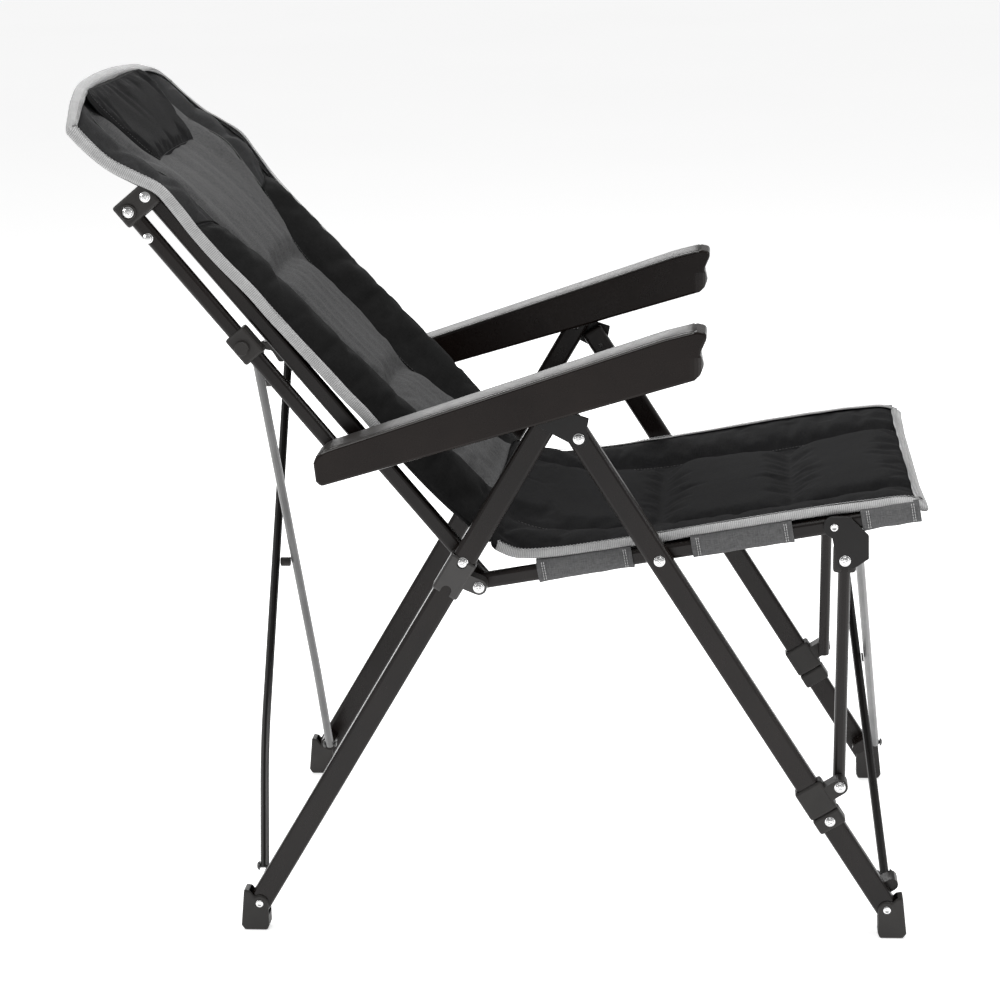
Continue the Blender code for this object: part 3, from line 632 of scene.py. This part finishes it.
def apply_modifiers(obj):
    """Keeps what the modifiers make as the piece's own mesh."""
    bpy.context.view_layer.update()
    graph = bpy.context.evaluated_depsgraph_get()
    mesh = bpy.data.meshes.new_from_object(obj.evaluated_get(graph))
    obj.modifiers.clear()
    old = obj.data
    obj.data = mesh
    bpy.data.meshes.remove(old)


def finish_soft(obj, body):
    """Rides on its body, with a mesh of its own."""
    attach(obj, body)
    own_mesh(obj)
    return obj


def finish_trim(obj, body):
    """Finishes trim as a soft piece."""
    return finish_soft(obj, body)


# ---------------------------------------------------------------- seat and back

# Seams as (|y|, s along the middle of the panel).
SEAM_SPLIT, SEAM_CLIMB = 0.465, 0.019
PANEL_SEAM = ((0.243, 0.484), (0.200, 0.476), (0.148, 0.465), (0.134, 0.432), (0.113, 0.398), (0.104, 0.372))
PANEL_SEAM += ((0.102, 0.320), (0.104, 0.262), (0.096, 0.215), (0.089, 0.176), (0.094, 0.120))
PANEL_SEAM += ((0.106, 0.076), (0.112, 0.0))
SHOULDER_SEAM = ((0.150, 0.700), (0.165, 0.650), (0.174, 0.560), (0.166, 0.520), (0.148, 0.465))
BACK_CROSS_SEAMS = (
    ((0.0, 0.372), (0.104, 0.372)),
    ((0.0, 0.176), (0.089, 0.176)),
    ((0.174, 0.552), (0.255, 0.548)),
)
SEAT_LONG_SEAM = ((0.148, 0.04), (0.148, 0.20), (0.148, 0.49), (0.146, 0.53))
SEAT_CROSS_SEAMS = (((0.0, 0.2140), (0.148, 0.2140)), ((0.0, 0.3765), (0.148, 0.3765)))


def seam_width(s, line):
    """|y| of a lengthwise seam at s."""
    ordered = sorted(line, key=lambda p: p[1])
    return float(np.interp(s, [p[1] for p in ordered], [p[0] for p in ordered]))


def back_border(s):
    """|y| of the seam between the back's middle and its side panels."""
    return seam_width(s, PANEL_SEAM[2:] if s < SEAM_SPLIT else SHOULDER_SEAM)


def back_tone(y, s):
    if abs(y) < back_border(s):
        return 0
    outward = (abs(y) - back_border(s)) / (back.half(s) - back_border(s))
    return 2 if s < SEAM_SPLIT + SEAM_CLIMB * outward else 1


def back_folds(y, s):
    inside = max(0.0, 1 - (abs(y) / 0.17) ** 4)
    centre = fold_noise(y + 0.10 * y * (s - 0.3), s, 34, 2.6, 1.7) * 0.0026 * inside
    outside = noise.noise(Vector((y * 11, s * 7, 4.2))) * 0.0016
    return centre + outside * (1 - inside)


def seat_folds(y, s):
    streaks = fold_noise(y * 0.55, s, 15, 5.0, 7.9) * 0.0010
    broad = noise.noise(Vector((y * 8, s * 9, 2.4))) * 0.0018
    return streaks + broad


def back_thickness(share):
    return 0.0125 - 0.0055 * max(0.0, (share - 0.72) / 0.28)


def seat_thickness(share):
    return 0.0125 - 0.0055 * max(0.0, (share - 0.75) / 0.25)


BACK_PUFF, BACK_SINK = 0.0075, 0.0085
SEAT_PUFF, SEAT_SINK = 0.0070, 0.0065
SEAM_LEVEL = 0.25 * BACK_PUFF - SEAM_DIP - BACK_SINK + 0.0020
SEAT_SEAM_LEVEL = 0.25 * SEAT_PUFF - SEAM_DIP - SEAT_SINK + 0.0020
BACK_GRID = (83, 122)
SEAT_GRID = (83, 94)
back_places = seam_grid(back, *BACK_GRID, back_border, SEAM_SPLIT, SEAM_CLIMB)
seat_places = seam_grid(seat, *SEAT_GRID, lambda s: 0.148)

back_pad = quilted(
    "back_cover", back, (*BACK_GRID, back_places), back_thickness, BACK_PUFF, BACK_SINK,
    [PANEL_SEAM, SHOULDER_SEAM, *BACK_CROSS_SEAMS], back_tone,
    [CHARCOAL, CHARCOAL_SIDE, PANEL_BLACK, BACKING], "back_r", back_folds, 0.0055,
)
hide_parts("back_pad")

seat_pad = quilted(
    "seat_cover", seat, (*SEAT_GRID, seat_places), seat_thickness, SEAT_PUFF, SEAT_SINK,
    [SEAT_LONG_SEAM, *SEAT_CROSS_SEAMS], lambda y, s: 0,
    [SEAT_BLACK, BACKING], "seat_side_r", seat_folds, 0.0065,
)
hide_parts("seat_pad")


# ---------------------------------------------------------------- binding and stitching


def rim_path(panel, start, across, step=0.006):
    """Points (y, s) up a panel's right side from start, across its far end and down its left side."""
    end = panel.length
    half = panel.half(end)
    count = int((end - start) / step)
    path = [(-panel.half(s), s) for s in np.linspace(start, end, count, endpoint=False)]
    path.append((-half, end))
    path += [(y, end) for y in np.linspace(-half, half, across)]
    path += [(panel.half(s), s) for s in np.linspace(end, start, count, endpoint=False)]
    path.append((panel.half(start), start))
    return path


def inset(panel, y, s, distance):
    """The point (y, s), moved in from the panel's sides and far end to at least this distance."""
    half = panel.half(s)
    return max(-half + distance, min(half - distance, y)), min(s, panel.length - distance)


def tape_width(panel, s):
    """The tape is broad round the head's top edge and at the seat's front, and narrow down the sides."""
    near_end = max(0.0, 1 - (panel.length - s) / 0.07)
    narrow, broad = (0.0060, 0.0115) if panel is back else (0.0075, 0.0125)
    return narrow + (broad - narrow) * near_end


def binding(name, panel, path, under, body, wave):
    """Folded tape over a panel's edge: a rounded strip that laps both faces, gently uneven."""
    profile = [(1.0, "top", 0.0004), (0.93, "top", 0.0017), (0.6, "top", 0.0021), (0.25, "top", 0.0020)]
    profile += [(0.0, "out", 0.45), (-0.06, "out", 0.0), (0.0, "out", -0.6)]
    profile += [(0.25, "under", 0.0016), (0.6, "under", 0.0016), (1.0, "under", 0.0004)]
    vertices, uv = [], []
    rims = [panel.point(y, s) for y, s in path]
    for (y, s), rim, travelled in zip(path, rims, distance_run(rims)):
        ripple = wave * noise.noise(Vector((travelled * 22, 3.3, 0.7)))
        width = tape_width(panel, s)
        wide = width * (1 + 0.16 * noise.noise(Vector((travelled * 30, 8.8, 0.2))))
        outward = rim - panel.point(*inset(panel, y, s, 0.02))
        outward /= np.linalg.norm(outward) + 1e-12
        n = panel.normal(*inset(panel, y, s, 0.004))
        for k, (share, kind, lift) in enumerate(profile):
            if kind == "out":
                place = rim + outward * (0.0016 + 0.0006 * (lift == 0.0)) + n * (-0.0015 + lift * 0.0035)
            elif kind == "top":
                out = lift + 0.0022 * math.sin(share * math.pi * 0.5)
                place = panel.point(*inset(panel, y, s, wide * share), out)
            else:
                depth = 0.0035 + under * math.sqrt(min(1, share * wide / 0.016))
                place = panel.point(*inset(panel, y, s, wide * share), -depth - lift)
            vertices.append(place + n * ripple)
            uv.append((k * width / 4, travelled))
    obj = put(name, (vertices, grid_faces(len(path), len(profile)), uv), BINDING, None)
    solid = obj.modifiers.new("solid", "SOLIDIFY")
    solid.thickness = 0.0012
    solid.offset = -1
    apply_modifiers(obj)
    return finish_trim(obj, body)


def zigzag(name, panel, path, body, lift):
    """Overlocked thread along the inner edge of a binding."""
    run = distance_run([panel.point(y, s) for y, s in path])
    ys, ss = np.asarray(path).T
    count = int(run[-1] / 0.0021)
    thread = []
    for i in range(count):
        t = run[-1] * i / count
        y, s = float(np.interp(t, run, ys)), float(np.interp(t, run, ss))
        share = 0.94 if i % 2 else 0.50
        thread.append(panel.point(*inset(panel, y, s, tape_width(panel, s) * share), lift))
    return finish_trim(put(name, tube_data(thread, 0.00045, 4), THREAD, None), body)


def dashes(name, points, radius, dash, gap, material, body):
    """Stitches sunk along a path of world points."""
    points = np.asarray(points, float)
    run = distance_run(points)
    parts = []
    t = 0.002
    while t + dash < run[-1]:
        samples = np.linspace(t, t + dash, 4)
        stitch = np.array([[np.interp(x, run, points[:, k]) for k in range(3)] for x in samples])
        parts.append(tube_data(stitch, [radius * 0.5, radius, radius, radius * 0.5], 5))
        t += dash + gap
    return finish_trim(put(name, gather(parts), material, None), body)


def seam_points(panel, line, sign, lift, step=0.004):
    """World points along a seam on one side of a panel, lifted off it."""
    line = np.asarray(line, float)
    run = distance_run(line)
    points = []
    for t in np.arange(0, run[-1], step):
        y = float(np.interp(t, run, line[:, 0]))
        s = float(np.interp(t, run, line[:, 1]))
        points.append(panel.point(sign * min(y, panel.half(s) - 0.004), s, lift))
    return points


def piping(name, panel, line, sign, radius, material, body, lift):
    """A round cord sewn along a seam."""
    cord = tube_data(seam_points(panel, line, sign, lift), radius, 6)
    return finish_trim(put(name, cord, material, None), body)


seat_rim = rim_path(seat, 0.012, 82)
binding("seat_binding", seat, seat_rim, 0.0035, "seat_side_r", 0.0009)
zigzag("seat_binding_stitch", seat, seat_rim, "seat_side_r", 0.0052)

# Below 0.150 up the back the binding is left off and the dark pad edge shows. This is painted shade,
# standing for the binding where it lies in shadow below the armrests.
back_rim = rim_path(back, 0.150, 88)
binding("back_binding", back, back_rim, 0.0035, "back_r", 0.0014)
zigzag("back_binding_stitch", back, back_rim, "back_r", 0.0052)

for tag, sign in SIDES:
    piping(f"back_panel_piping_{tag}", back, PANEL_SEAM, sign, 0.0011, THREAD_DARK, "back_r", SEAM_LEVEL)
    piping(f"shoulder_piping_{tag}", back, SHOULDER_SEAM, sign, 0.0009, THREAD_GREY, "back_r", SEAM_LEVEL)
    seat_line = seam_points(seat, SEAT_LONG_SEAM, sign, SEAT_SEAM_LEVEL)
    dashes(f"seat_long_stitch_{tag}", seat_line, 0.00045, 0.0028, 0.0016, THREAD_GREY, "seat_side_r")
    stitched = [(y - 0.004, s - 0.004) for y, s in PANEL_SEAM[2:]]
    back_line = seam_points(back, stitched, sign, SEAM_LEVEL + 0.0016)
    dashes(f"back_panel_stitch_{tag}", back_line, 0.0004, 0.0026, 0.0016, THREAD_GREY, "back_r")


# ---------------------------------------------------------------- head pillow

PILLOW_OUTLINE = ((0.0, 0.108), (0.10, 0.114), (0.45, 0.136), (0.78, 0.154), (0.90, 0.153), (1.0, 0.142))
PILLOW_START, PILLOW_END = 0.567, 0.686
PILLOW_BASE, PILLOW_CROWN = 0.0020, 0.0100
PILLOW_CUT = 0.118


def pillow_half(b):
    """Half width of the pillow, b of the way from its lower edge to its upper edge, with round corners."""
    width = float(np.interp(b, [p[0] for p in PILLOW_OUTLINE], [p[1] for p in PILLOW_OUTLINE]))
    corner = 0.020 / (PILLOW_END - PILLOW_START)
    inward = max(0.0, corner - b, b - (1 - corner)) / corner
    return width - 0.016 * (1 - math.sqrt(max(0.0, 1 - inward**2)))


def pillow_place(a, b, out):
    """The world point at a across the pillow (-1 to 1) and b up it (0 to 1), out from the cover."""
    s = PILLOW_START + (PILLOW_END - PILLOW_START) * b + 0.010 * a * a * (b - 0.35)
    return back.point(a * pillow_half(b), s, out)


def pillow_edge(a, b):
    """How far inside the pillow's edge a point is, as a share of its half width."""
    return min(1 - abs(a), (1 - abs(2 * b - 1)) * 0.55)


def pillow_height(a, b):
    """A crowned top that falls steeply to its piped edge, with two drag lines from the upper corner."""
    edge = min(1.0, max(0.0, pillow_edge(a, b)) / 0.16)
    crown = 1 - 0.35 * a * a - 0.30 * (2 * b - 1) ** 2
    drag = 0.0
    for start, slope, depth in ((-0.34, 0.30, 0.0022), (-0.18, 0.38, 0.0016)):
        gap = a - start - slope * (1 - b)
        drag += depth * math.exp(-((gap / 0.055) ** 2)) * max(0.0, 1 - abs(b - 0.78) / 0.45)
    ripple = noise.noise(Vector((a * 2.6, b * 2.2, 6.1))) * 0.0016
    return (PILLOW_CROWN * crown + ripple - drag) * math.sqrt(edge * (2 - edge))


def pillow():
    """The pillow, its piped edge and the stitching inside it."""
    columns, rows = 64, 52
    aa = np.sin(np.linspace(-1, 1, columns) * 1.36) / math.sin(1.36)
    bb = 0.5 + 0.5 * np.sin(np.linspace(-1, 1, rows) * 1.36) / math.sin(1.36)
    vertices, uv, pinned = [], [], []
    for b in bb:
        for a in aa:
            vertices.append(pillow_place(a, b, PILLOW_BASE + 0.0010 + pillow_height(a, b)))
            uv.append((a * pillow_half(b), b * PILLOW_CUT))
            pinned.append(pillow_edge(a, b) < 0.05)
    for b in bb:
        for a in aa:
            vertices.append(pillow_place(a, b, PILLOW_BASE - 0.0040 * (1 - a**6)))
            uv.append((a * pillow_half(b), b * PILLOW_CUT))
            pinned.append(True)
    obj = close_up(put("pillow_cover", (vertices, pad_faces(rows, columns), uv), SEAT_BLACK, None))
    relax_cloth(obj, pinned, np.asarray(vertices, float), 0.0030, 2.0, 0.02)
    apply_modifiers(obj)
    finish_soft(obj, "back_r")
    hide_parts("head_pillow")
    edge = [(a, 0.0) for a in np.linspace(-1, 1, 60)] + [(1.0, b) for b in np.linspace(0, 1, 40)[1:]]
    edge += [(a, 1.0) for a in np.linspace(1, -1, 60)[1:]] + [(-1.0, b) for b in np.linspace(1, 0, 40)[1:]]
    path = [pillow_place(a, b, PILLOW_BASE + 0.0008) for a, b in edge]
    cord = put("pillow_piping", tube_data(path, 0.0014, 6), THREAD_DARK, None)
    finish_soft(cord, "back_r")
    inner = [(a * 0.955, 0.5 + (b - 0.5) * 0.94) for a, b in edge]
    lifted = [pillow_place(a, b, PILLOW_BASE + 0.0016 + pillow_height(a, b)) for a, b in inner]
    dashes("pillow_stitch", lifted, 0.00035, 0.0024, 0.0016, THREAD_GREY, "back_r")


pillow()


# ---------------------------------------------------------------- sleeves that hold the seat to its tubes

SEAT_TUBE_HALF = (0.0095, 0.0070)
SLEEVE_SPANS = ((0.069, 0.183), (0.253, 0.373), (0.453, 0.5220))


def sleeve_outline(high, wide, top):
    """(up, across) round the seat tube from one side of the flat seam at top to its other side."""
    outline = [(top, -0.0012), (high + 0.0035, -0.0018)]
    for degrees in range(-150, 151, 15):
        c, n = math.cos(math.radians(degrees)), math.sin(math.radians(degrees))
        r = (abs(c) ** 3.4 + abs(n) ** 3.4) ** (-1 / 3.4)
        outline.append((-high * r * c, wide * r * n))
    return outline + [(high + 0.0035, 0.0018), (top, 0.0012)]


def seat_sleeve(tag, side, index, start, end):
    """Cloth wrapped round the tube: a lofted loop whose two ends stand open, hemmed and slightly flared."""
    middle_y = side * SEAT_TUBE_MIDDLE
    span = end - start
    steps = max(16, int(span / 0.004))
    vertices, uv = [], []
    for i in range(steps + 1):
        t = i / steps
        s = start + span * t
        flare = 0.0008 * (math.exp(-t * span / 0.004) + math.exp(-(1 - t) * span / 0.004))
        hang = noise.noise(Vector((s * 34, side * 3.0, index))) * 0.0012
        swell = 0.0016 + flare + 0.0005 * noise.noise(Vector((s * 60, 5.0 + side, index)))
        high, wide = SEAT_TUBE_HALF[0] + swell, SEAT_TUBE_HALF[1] + swell
        outline = sleeve_outline(high, wide, seat_edge_height(s) - 0.0025)
        for k, (rise, across) in enumerate(outline):
            x, z = side_view(EAR_PIN, SEAT_FRONT_PIN, s, rise + (hang if rise < high else 0.0))
            sway = 0.0010 * noise.noise(Vector((s * 42, k * 0.35, index + 2.0)))
            vertices.append((x, middle_y + across + sway * (abs(rise) < high), z))
            uv.append((k * 0.0035, s))
    faces = grid_faces(steps + 1, len(outline))
    obj = put(f"seat_sleeve_{tag}_{index}", (vertices, faces, uv), SLEEVE, None)
    solid = obj.modifiers.new("solid", "SOLIDIFY")
    solid.thickness = 0.0008
    solid.offset = 1
    smooth = obj.modifiers.new("smooth", "SUBSURF")
    smooth.levels = smooth.render_levels = 1
    apply_modifiers(obj)
    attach(obj, f"seat_side_{tag}")
    for at_s in (start + 0.007, end - 0.007, start + 0.0095, end - 0.0095):
        stitches = []
        for rise in np.linspace(SEAT_TUBE_HALF[0] + 0.004, -SEAT_TUBE_HALF[0] + 0.001, 8):
            x, z = side_view(EAR_PIN, SEAT_FRONT_PIN, at_s, rise)
            stitches.append(np.array([x, middle_y + side * (SEAT_TUBE_HALF[1] + 0.0034), z]))
        parts = []
        for first, second in zip(stitches[:-1], stitches[1:]):
            gap = second - first
            parts.append(tube_data([first + gap * 0.12, first + gap * 0.5, first + gap * 0.84], 0.00042, 5))
        name = f"sleeve_stitch_{tag}_{index}_{int(at_s * 1e4)}"
        stitch = put(name, gather(parts), THREAD, f"seat_side_{tag}")


def seat_edge_height(s):
    """How far over the seat tube the pad's edge lies."""
    rim = seat.rows[:, -1]
    a, b = np.asarray(EAR_PIN, float), np.asarray(SEAT_FRONT_PIN, float)
    t = unit(b - a)
    along = (rim - a) @ t
    lift = (rim - a) @ np.array([-t[1], t[0]])
    return float(np.interp(s, along, lift)) - 0.004


for tag, side in SIDES:
    for index, (start, end) in enumerate(SLEEVE_SPANS):
        seat_sleeve(tag, side, index, start, end)


# ---------------------------------------------------------------- fasteners


def cross_recess(obj, centre, direction, turn):
    """Cuts a cross into a screw's head."""
    axis = Vector(direction).normalized()
    for k in range(2):
        cutter = bmesh.new()
        bmesh.ops.create_cube(cutter, size=1.0)
        shape = Matrix.Diagonal((0.0058, 0.0011, 0.0030, 1.0))
        spin = Matrix.Rotation(turn + k * math.pi / 2, 4, "Z")
        place = Matrix.Translation(centre) @ axis.to_track_quat("Z", "Y").to_matrix().to_4x4()
        bmesh.ops.transform(cutter, matrix=place @ spin @ shape, verts=cutter.verts)
        mesh = bpy.data.meshes.new("recess")
        cutter.to_mesh(mesh)
        cutter.free()
        tool = bpy.data.objects.new("recess", mesh)
        bpy.context.scene.collection.objects.link(tool)
        cut = obj.modifiers.new("recess", "BOOLEAN")
        cut.object = tool
        cut.solver = "EXACT"
        apply_modifiers(obj)
        bpy.data.objects.remove(tool)


def screw(name, point, side, seat_y, body, radius=0.0054, node=None, recess=True, turn=0.3):
    """A domed screw head on its washer, outside the plane at seat_y."""
    out = (0, side, 0)
    centre = np.array([point[0], side * seat_y, point[1]])
    dome = [(-0.0010, radius * 0.72), (0.0005, radius * 0.94), (0.0011, radius), (0.0017, radius * 0.97)]
    for degrees in range(20, 91, 14):
        a = math.radians(degrees)
        dome.append((0.0014 + 0.0020 * math.sin(a), radius * math.cos(a) ** 0.8))
    washer = [(-0.0004, radius * 1.22), (0.0002, radius * 1.26)]
    washer += [(0.0006, radius * 1.20), (0.0006, radius * 0.6)]
    head = close_up(put(name, turned(dome, centre, out), CHROME, None))
    if recess:
        cross_recess(head, Vector(centre) + Vector(out) * 0.0036, out, turn)
    ring = close_up(put(name + "_washer", turned(washer, centre, out), CHROME, body))
    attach(head, body)
    head.data.set_sharp_from_angle(angle=math.radians(40))
    if node:
        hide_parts(node)


def rivet(name, point, side, seat_y, body, radius=0.0048):
    """A rolled rivet: a low ring round a dished middle."""
    profile = [(-0.0006, radius * 0.9), (0.0004, radius), (0.0010, radius * 0.93), (0.0013, radius * 0.72)]
    profile += [(0.0012, radius * 0.55), (0.0006, radius * 0.42), (0.0003, radius * 0.2)]
    centre = (point[0], side * seat_y, point[1])
    obj = close_up(put(name, turned(profile, centre, (0, side, 0)), CHROME, body))


def bolt_ring(tag, side):
    """The raised ring moulded round the lower bolt of the top bracket."""
    low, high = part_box(f"rail_bolt_{tag}")
    profile = [(-0.0004, 0.0092), (0.0012, 0.0096), (0.0020, 0.0090), (0.0020, 0.0082)]
    profile += [(0.0006, 0.0076), (0.0006, 0.0060)]
    centre = ((low[0] + high[0]) / 2, side * TOP_BRACKET_FACE, (low[2] + high[2]) / 2)
    ring = turned(profile, centre, (0, side, 0), 36)
    close_up(put(f"rail_bolt_ring_{tag}", ring, PLASTIC, f"back_{tag}"))


# Each bolt's node, the body it rides on, its head's radius and the turn of its cross.
SCREW_NODES = (
    ("arm_bolt", "front_leg", 0.0054, 0.2),
    ("seat_bolt", "front_leg", 0.0054, 0.8),
    ("stop_bolt", "rear_leg", 0.0056, 0.5),
    ("clamp_bolt", "clamp", 0.0054, 0.1),
    ("slider_bolt", "front_slider", 0.0054, 0.9),
    ("cap_bolt", "seat_side", 0.0054, 0.4),
    ("rail_bolt", "back", 0.0054, 0.6),
)
for tag, side in SIDES:
    for stem, body, radius, turn in SCREW_NODES:
        low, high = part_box(f"{stem}_{tag}")
        face = max(abs(low[1]), abs(high[1])) - 0.0031
        middle = ((low[0] + high[0]) / 2, (low[2] + high[2]) / 2)
        turn_here = turn + (tag == "l")
        node = f"{stem}_{tag}"
        screw(f"{stem}_head_{tag}", middle, side, face, f"{body}_{tag}", radius, node, True, turn_here)
    screw(f"collar_screw_{tag}", COLLAR, side, LEG_FACE, f"front_leg_{tag}", 0.0050, turn=1.1)
    screw(f"top_bracket_screw_{tag}", BACK_TUBE_TOP, side, TOP_BRACKET_FACE, f"back_{tag}", 0.0050, turn=0.7)
    rivet(f"front_foot_rivet_{tag}", FRONT_FOOT, side, FOOT_FACE, f"foot_{tag}")
    rivet(f"rear_foot_rivet_{tag}", REAR_FOOT, side, FOOT_FACE, f"rear_foot_{tag}")
    rivet(f"seat_front_rivet_{tag}", SEAT_FRONT_PIN, side, SEAT_BRACKET_FACE, f"seat_side_{tag}", 0.0046)
    screw(f"rail_stop_screw_{tag}", RAIL_STOP, side, RAIL_FACE, f"rail_{tag}", 0.0048, recess=False)
    bolt_ring(tag, side)


def brace_pin(node, side, outward):
    """The pin that a brace's foot swings on: a domed head outside and a rolled end inside."""
    ends = [v.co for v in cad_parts[node].data.vertices if v.co.y * side > 0]
    lowest = min(co.z for co in ends)
    foot = [co for co in ends if co.z < lowest + 0.008]
    centre = np.mean([tuple(co) for co in foot], axis=0) + np.array([-outward * 0.0095, 0, 0.0015])
    profile = [(0.0, 0.0030), (0.0008, 0.0042), (0.0022, 0.0042), (0.0026, 0.0026), (0.0155, 0.0026)]
    profile += [(0.0157, 0.0054), (0.0168, 0.0054), (0.0184, 0.0040), (0.0190, 0.0018)]
    pin = turned(profile, centre, (outward, 0, 0), 20)
    obj = close_up(put(f"{node}_pin", pin, DARK_STEEL, node))


for kind, outward in (("front", 1), ("rear", -1)):
    brace_pin(f"{kind}_brace_a", -1, outward)
    brace_pin(f"{kind}_brace_b", 1, outward)


# ---------------------------------------------------------------- armrest tops

ARM_TOP_EDGE = ((-0.1995, 0.6085), (-0.1880, 0.6142), (0.2000, 0.7430), (0.2360, 0.7520))
ARM_TOP = [(x + SHIFT, z) for x, z in ARM_TOP_EDGE]
ARM_MIDDLE, ARM_HALF = 0.2725, 0.0232


def arm_line(t):
    """Side-view point at t metres along the armrest's top edge."""
    run = distance_run(ARM_TOP)
    return [float(np.interp(t, run, [p[k] for p in ARM_TOP])) for k in range(2)]


def armrest_top(tag, side):
    """The crowned grip surface, with a shallow groove inside each edge, and a bead along each edge."""
    length = float(distance_run(ARM_TOP)[-1])
    rows, columns = 72, 25
    vertices, uv = [], []
    for depth in (False, True):
        for t in np.linspace(0, length, rows):
            x, z = arm_line(t)
            ends = min(1.0, min(t, length - t) / 0.010)
            ends = math.sqrt(ends * (2 - ends))
            for a in np.linspace(-1, 1, columns):
                fall = min(1.0, (1 - abs(a)) / 0.16)
                crown = 0.0026 * (1 - a * a) + 0.0008 * math.sqrt(fall * (2 - fall))
                groove = 0.0007 * math.exp(-(((abs(a) - 0.80) / 0.035) ** 2))
                lift = -0.0008 if depth else (crown - groove) * ends + 0.0001
                y = side * (ARM_MIDDLE + a * ARM_HALF * (0.80 + 0.20 * ends))
                vertices.append((x, y, z + lift))
                uv.append((a * ARM_HALF, t))
    surface = (vertices, pad_faces(rows, columns), uv)
    obj = close_up(put(f"armrest_top_{tag}", surface, ARM_GRIP, f"armrest_{tag}"))
    for hand in (-1, 1):
        path = []
        for t in np.linspace(0.004, length - 0.003, 60):
            x, z = arm_line(t)
            path.append((x, side * (ARM_MIDDLE + hand * 0.0240), z - 0.0010))
        name = f"armrest_bead_{tag}_{'outer' if hand > 0 else 'inner'}"
        bead = put(name, tube_data(path, 0.0016, 8), ARM_EDGE, f"armrest_{tag}")


for tag, side in SIDES:
    armrest_top(tag, side)


# ---------------------------------------------------------------- camera, light and floor


def look_matrix(yaw, pitch, roll):
    """Turns a camera from looking along +Y: yaw to the right, pitch downwards, then roll."""
    forward = Vector((math.sin(yaw) * math.cos(pitch), math.cos(yaw) * math.cos(pitch), -math.sin(pitch)))
    right = Vector((math.cos(yaw), -math.sin(yaw), 0))
    up = right.cross(forward)
    turned_right = right * math.cos(roll) + up * math.sin(roll)
    turned_up = up * math.cos(roll) - right * math.sin(roll)
    return Matrix((turned_right, turned_up, -forward)).transposed()


camera_data = bpy.data.cameras.new("camera")
camera_data.sensor_width = 36
camera_data.lens = 89.61
camera_data.shift_x = -0.06
camera_data.clip_end = 200
camera = bpy.data.objects.new("camera", camera_data)
camera_turn = look_matrix(*(math.radians(angle) for angle in (-3.93, 15.286, -0.916)))
camera.matrix_world = Matrix.Translation((0.2669, -3.0473, 1.3086)) @ camera_turn.to_4x4()
bpy.context.scene.collection.objects.link(camera)
bpy.context.scene.camera = camera


def area_light(name, place, target, size, power):
    """A rectangular softbox at place, turned towards target."""
    data = bpy.data.lights.new(name, "AREA")
    data.shape = "RECTANGLE"
    data.size, data.size_y = size
    data.energy = power
    light = bpy.data.objects.new(name, data)
    light.location = place
    light.rotation_euler = (Vector(target) - Vector(place)).to_track_quat("-Z", "Y").to_euler()
    bpy.context.scene.collection.objects.link(light)


area_light("overhead_softbox", (0.1, 0.3, 3.4), (0, 0, 0.3), (3.2, 2.6), 85)
area_light("rear_softbox", (-1.2, 3.0, 2.2), (0, 0, 0.5), (2.4, 1.6), 75)
area_light("side_softbox", (-2.8, -1.6, 2.0), (0, 0, 0.5), (0.45, 1.8), 30)
area_light("front_softbox", (2.9, -1.4, 1.6), (0, 0, 0.4), (0.45, 1.8), 28)

world = bpy.data.worlds.new("studio")
world.use_nodes = True
backdrop = world.node_tree.nodes["Background"]
backdrop.inputs["Color"].default_value = (1.0, 1.0, 1.0, 1.0)
seen = world.node_tree.nodes.new("ShaderNodeLightPath")
strength = world.node_tree.nodes.new("ShaderNodeMapRange")
strength.inputs["To Min"].default_value = 0.40
strength.inputs["To Max"].default_value = 1.0
world.node_tree.links.new(seen.outputs["Is Camera Ray"], strength.inputs["Value"])
world.node_tree.links.new(strength.outputs[0], backdrop.inputs["Strength"])
bpy.context.scene.world = world
bpy.context.scene.view_settings.view_transform = "Standard"

floor_mesh = bpy.data.meshes.new("floor")
floor_mesh.from_pydata([(-60, -60, 0), (60, -60, 0), (60, 60, 0), (-60, 60, 0)], [], [(0, 1, 2, 3)])
floor_look = Nodes("floor_paint", 0.9, 0.0, 0.1)
floor_look.colour(floor_look.ramp(floor_look.noise(0.6, 2), ((0.3, 0.93), (0.7, 0.95))))
floor_look.set(floor_look.shader, "Emission Color", (1.0, 1.0, 1.0, 1.0))
floor_look.set(floor_look.shader, "Emission Strength", 0.55)
floor_mesh.materials.append(floor_look.material)
floor = bpy.data.objects.new("floor", floor_mesh)
floor.location.z = -0.0005
bpy.context.scene.collection.objects.link(floor)


# ---------------------------------------------------------------- frame materials

NODE_LOOKS = (
    # The b braces get the lighter grey: painted light on a coat that matches the a braces'.
    (("front_brace_b", "rear_brace_b"), BRACE_PAINTED_LIGHT),
    (("front_brace_a", "rear_brace_a"), BRACE_DARK),
    (("seat_bracket", "arm_bracket"), PLATE_BLACK),
    (("rear_clamp",), CLAMP),
    (("armrest",), ARM_PLASTIC),
    (("front_leg", "rear_leg", "seat_tube", "back_tube", "back_rail", "upright_r", "upright_l"), TUBE),
    (("slider_bolt", "clamp_bolt", "stop_bolt", "seat_bolt", "cap_bolt", "rail_bolt", "arm_bolt"), CHROME),
)
for node_name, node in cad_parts.items():
    look = PLASTIC
    for starts, candidate in NODE_LOOKS:
        if node_name.startswith(starts):
            look = candidate
            break
    node.data.materials.clear()
    node.data.materials.append(look)
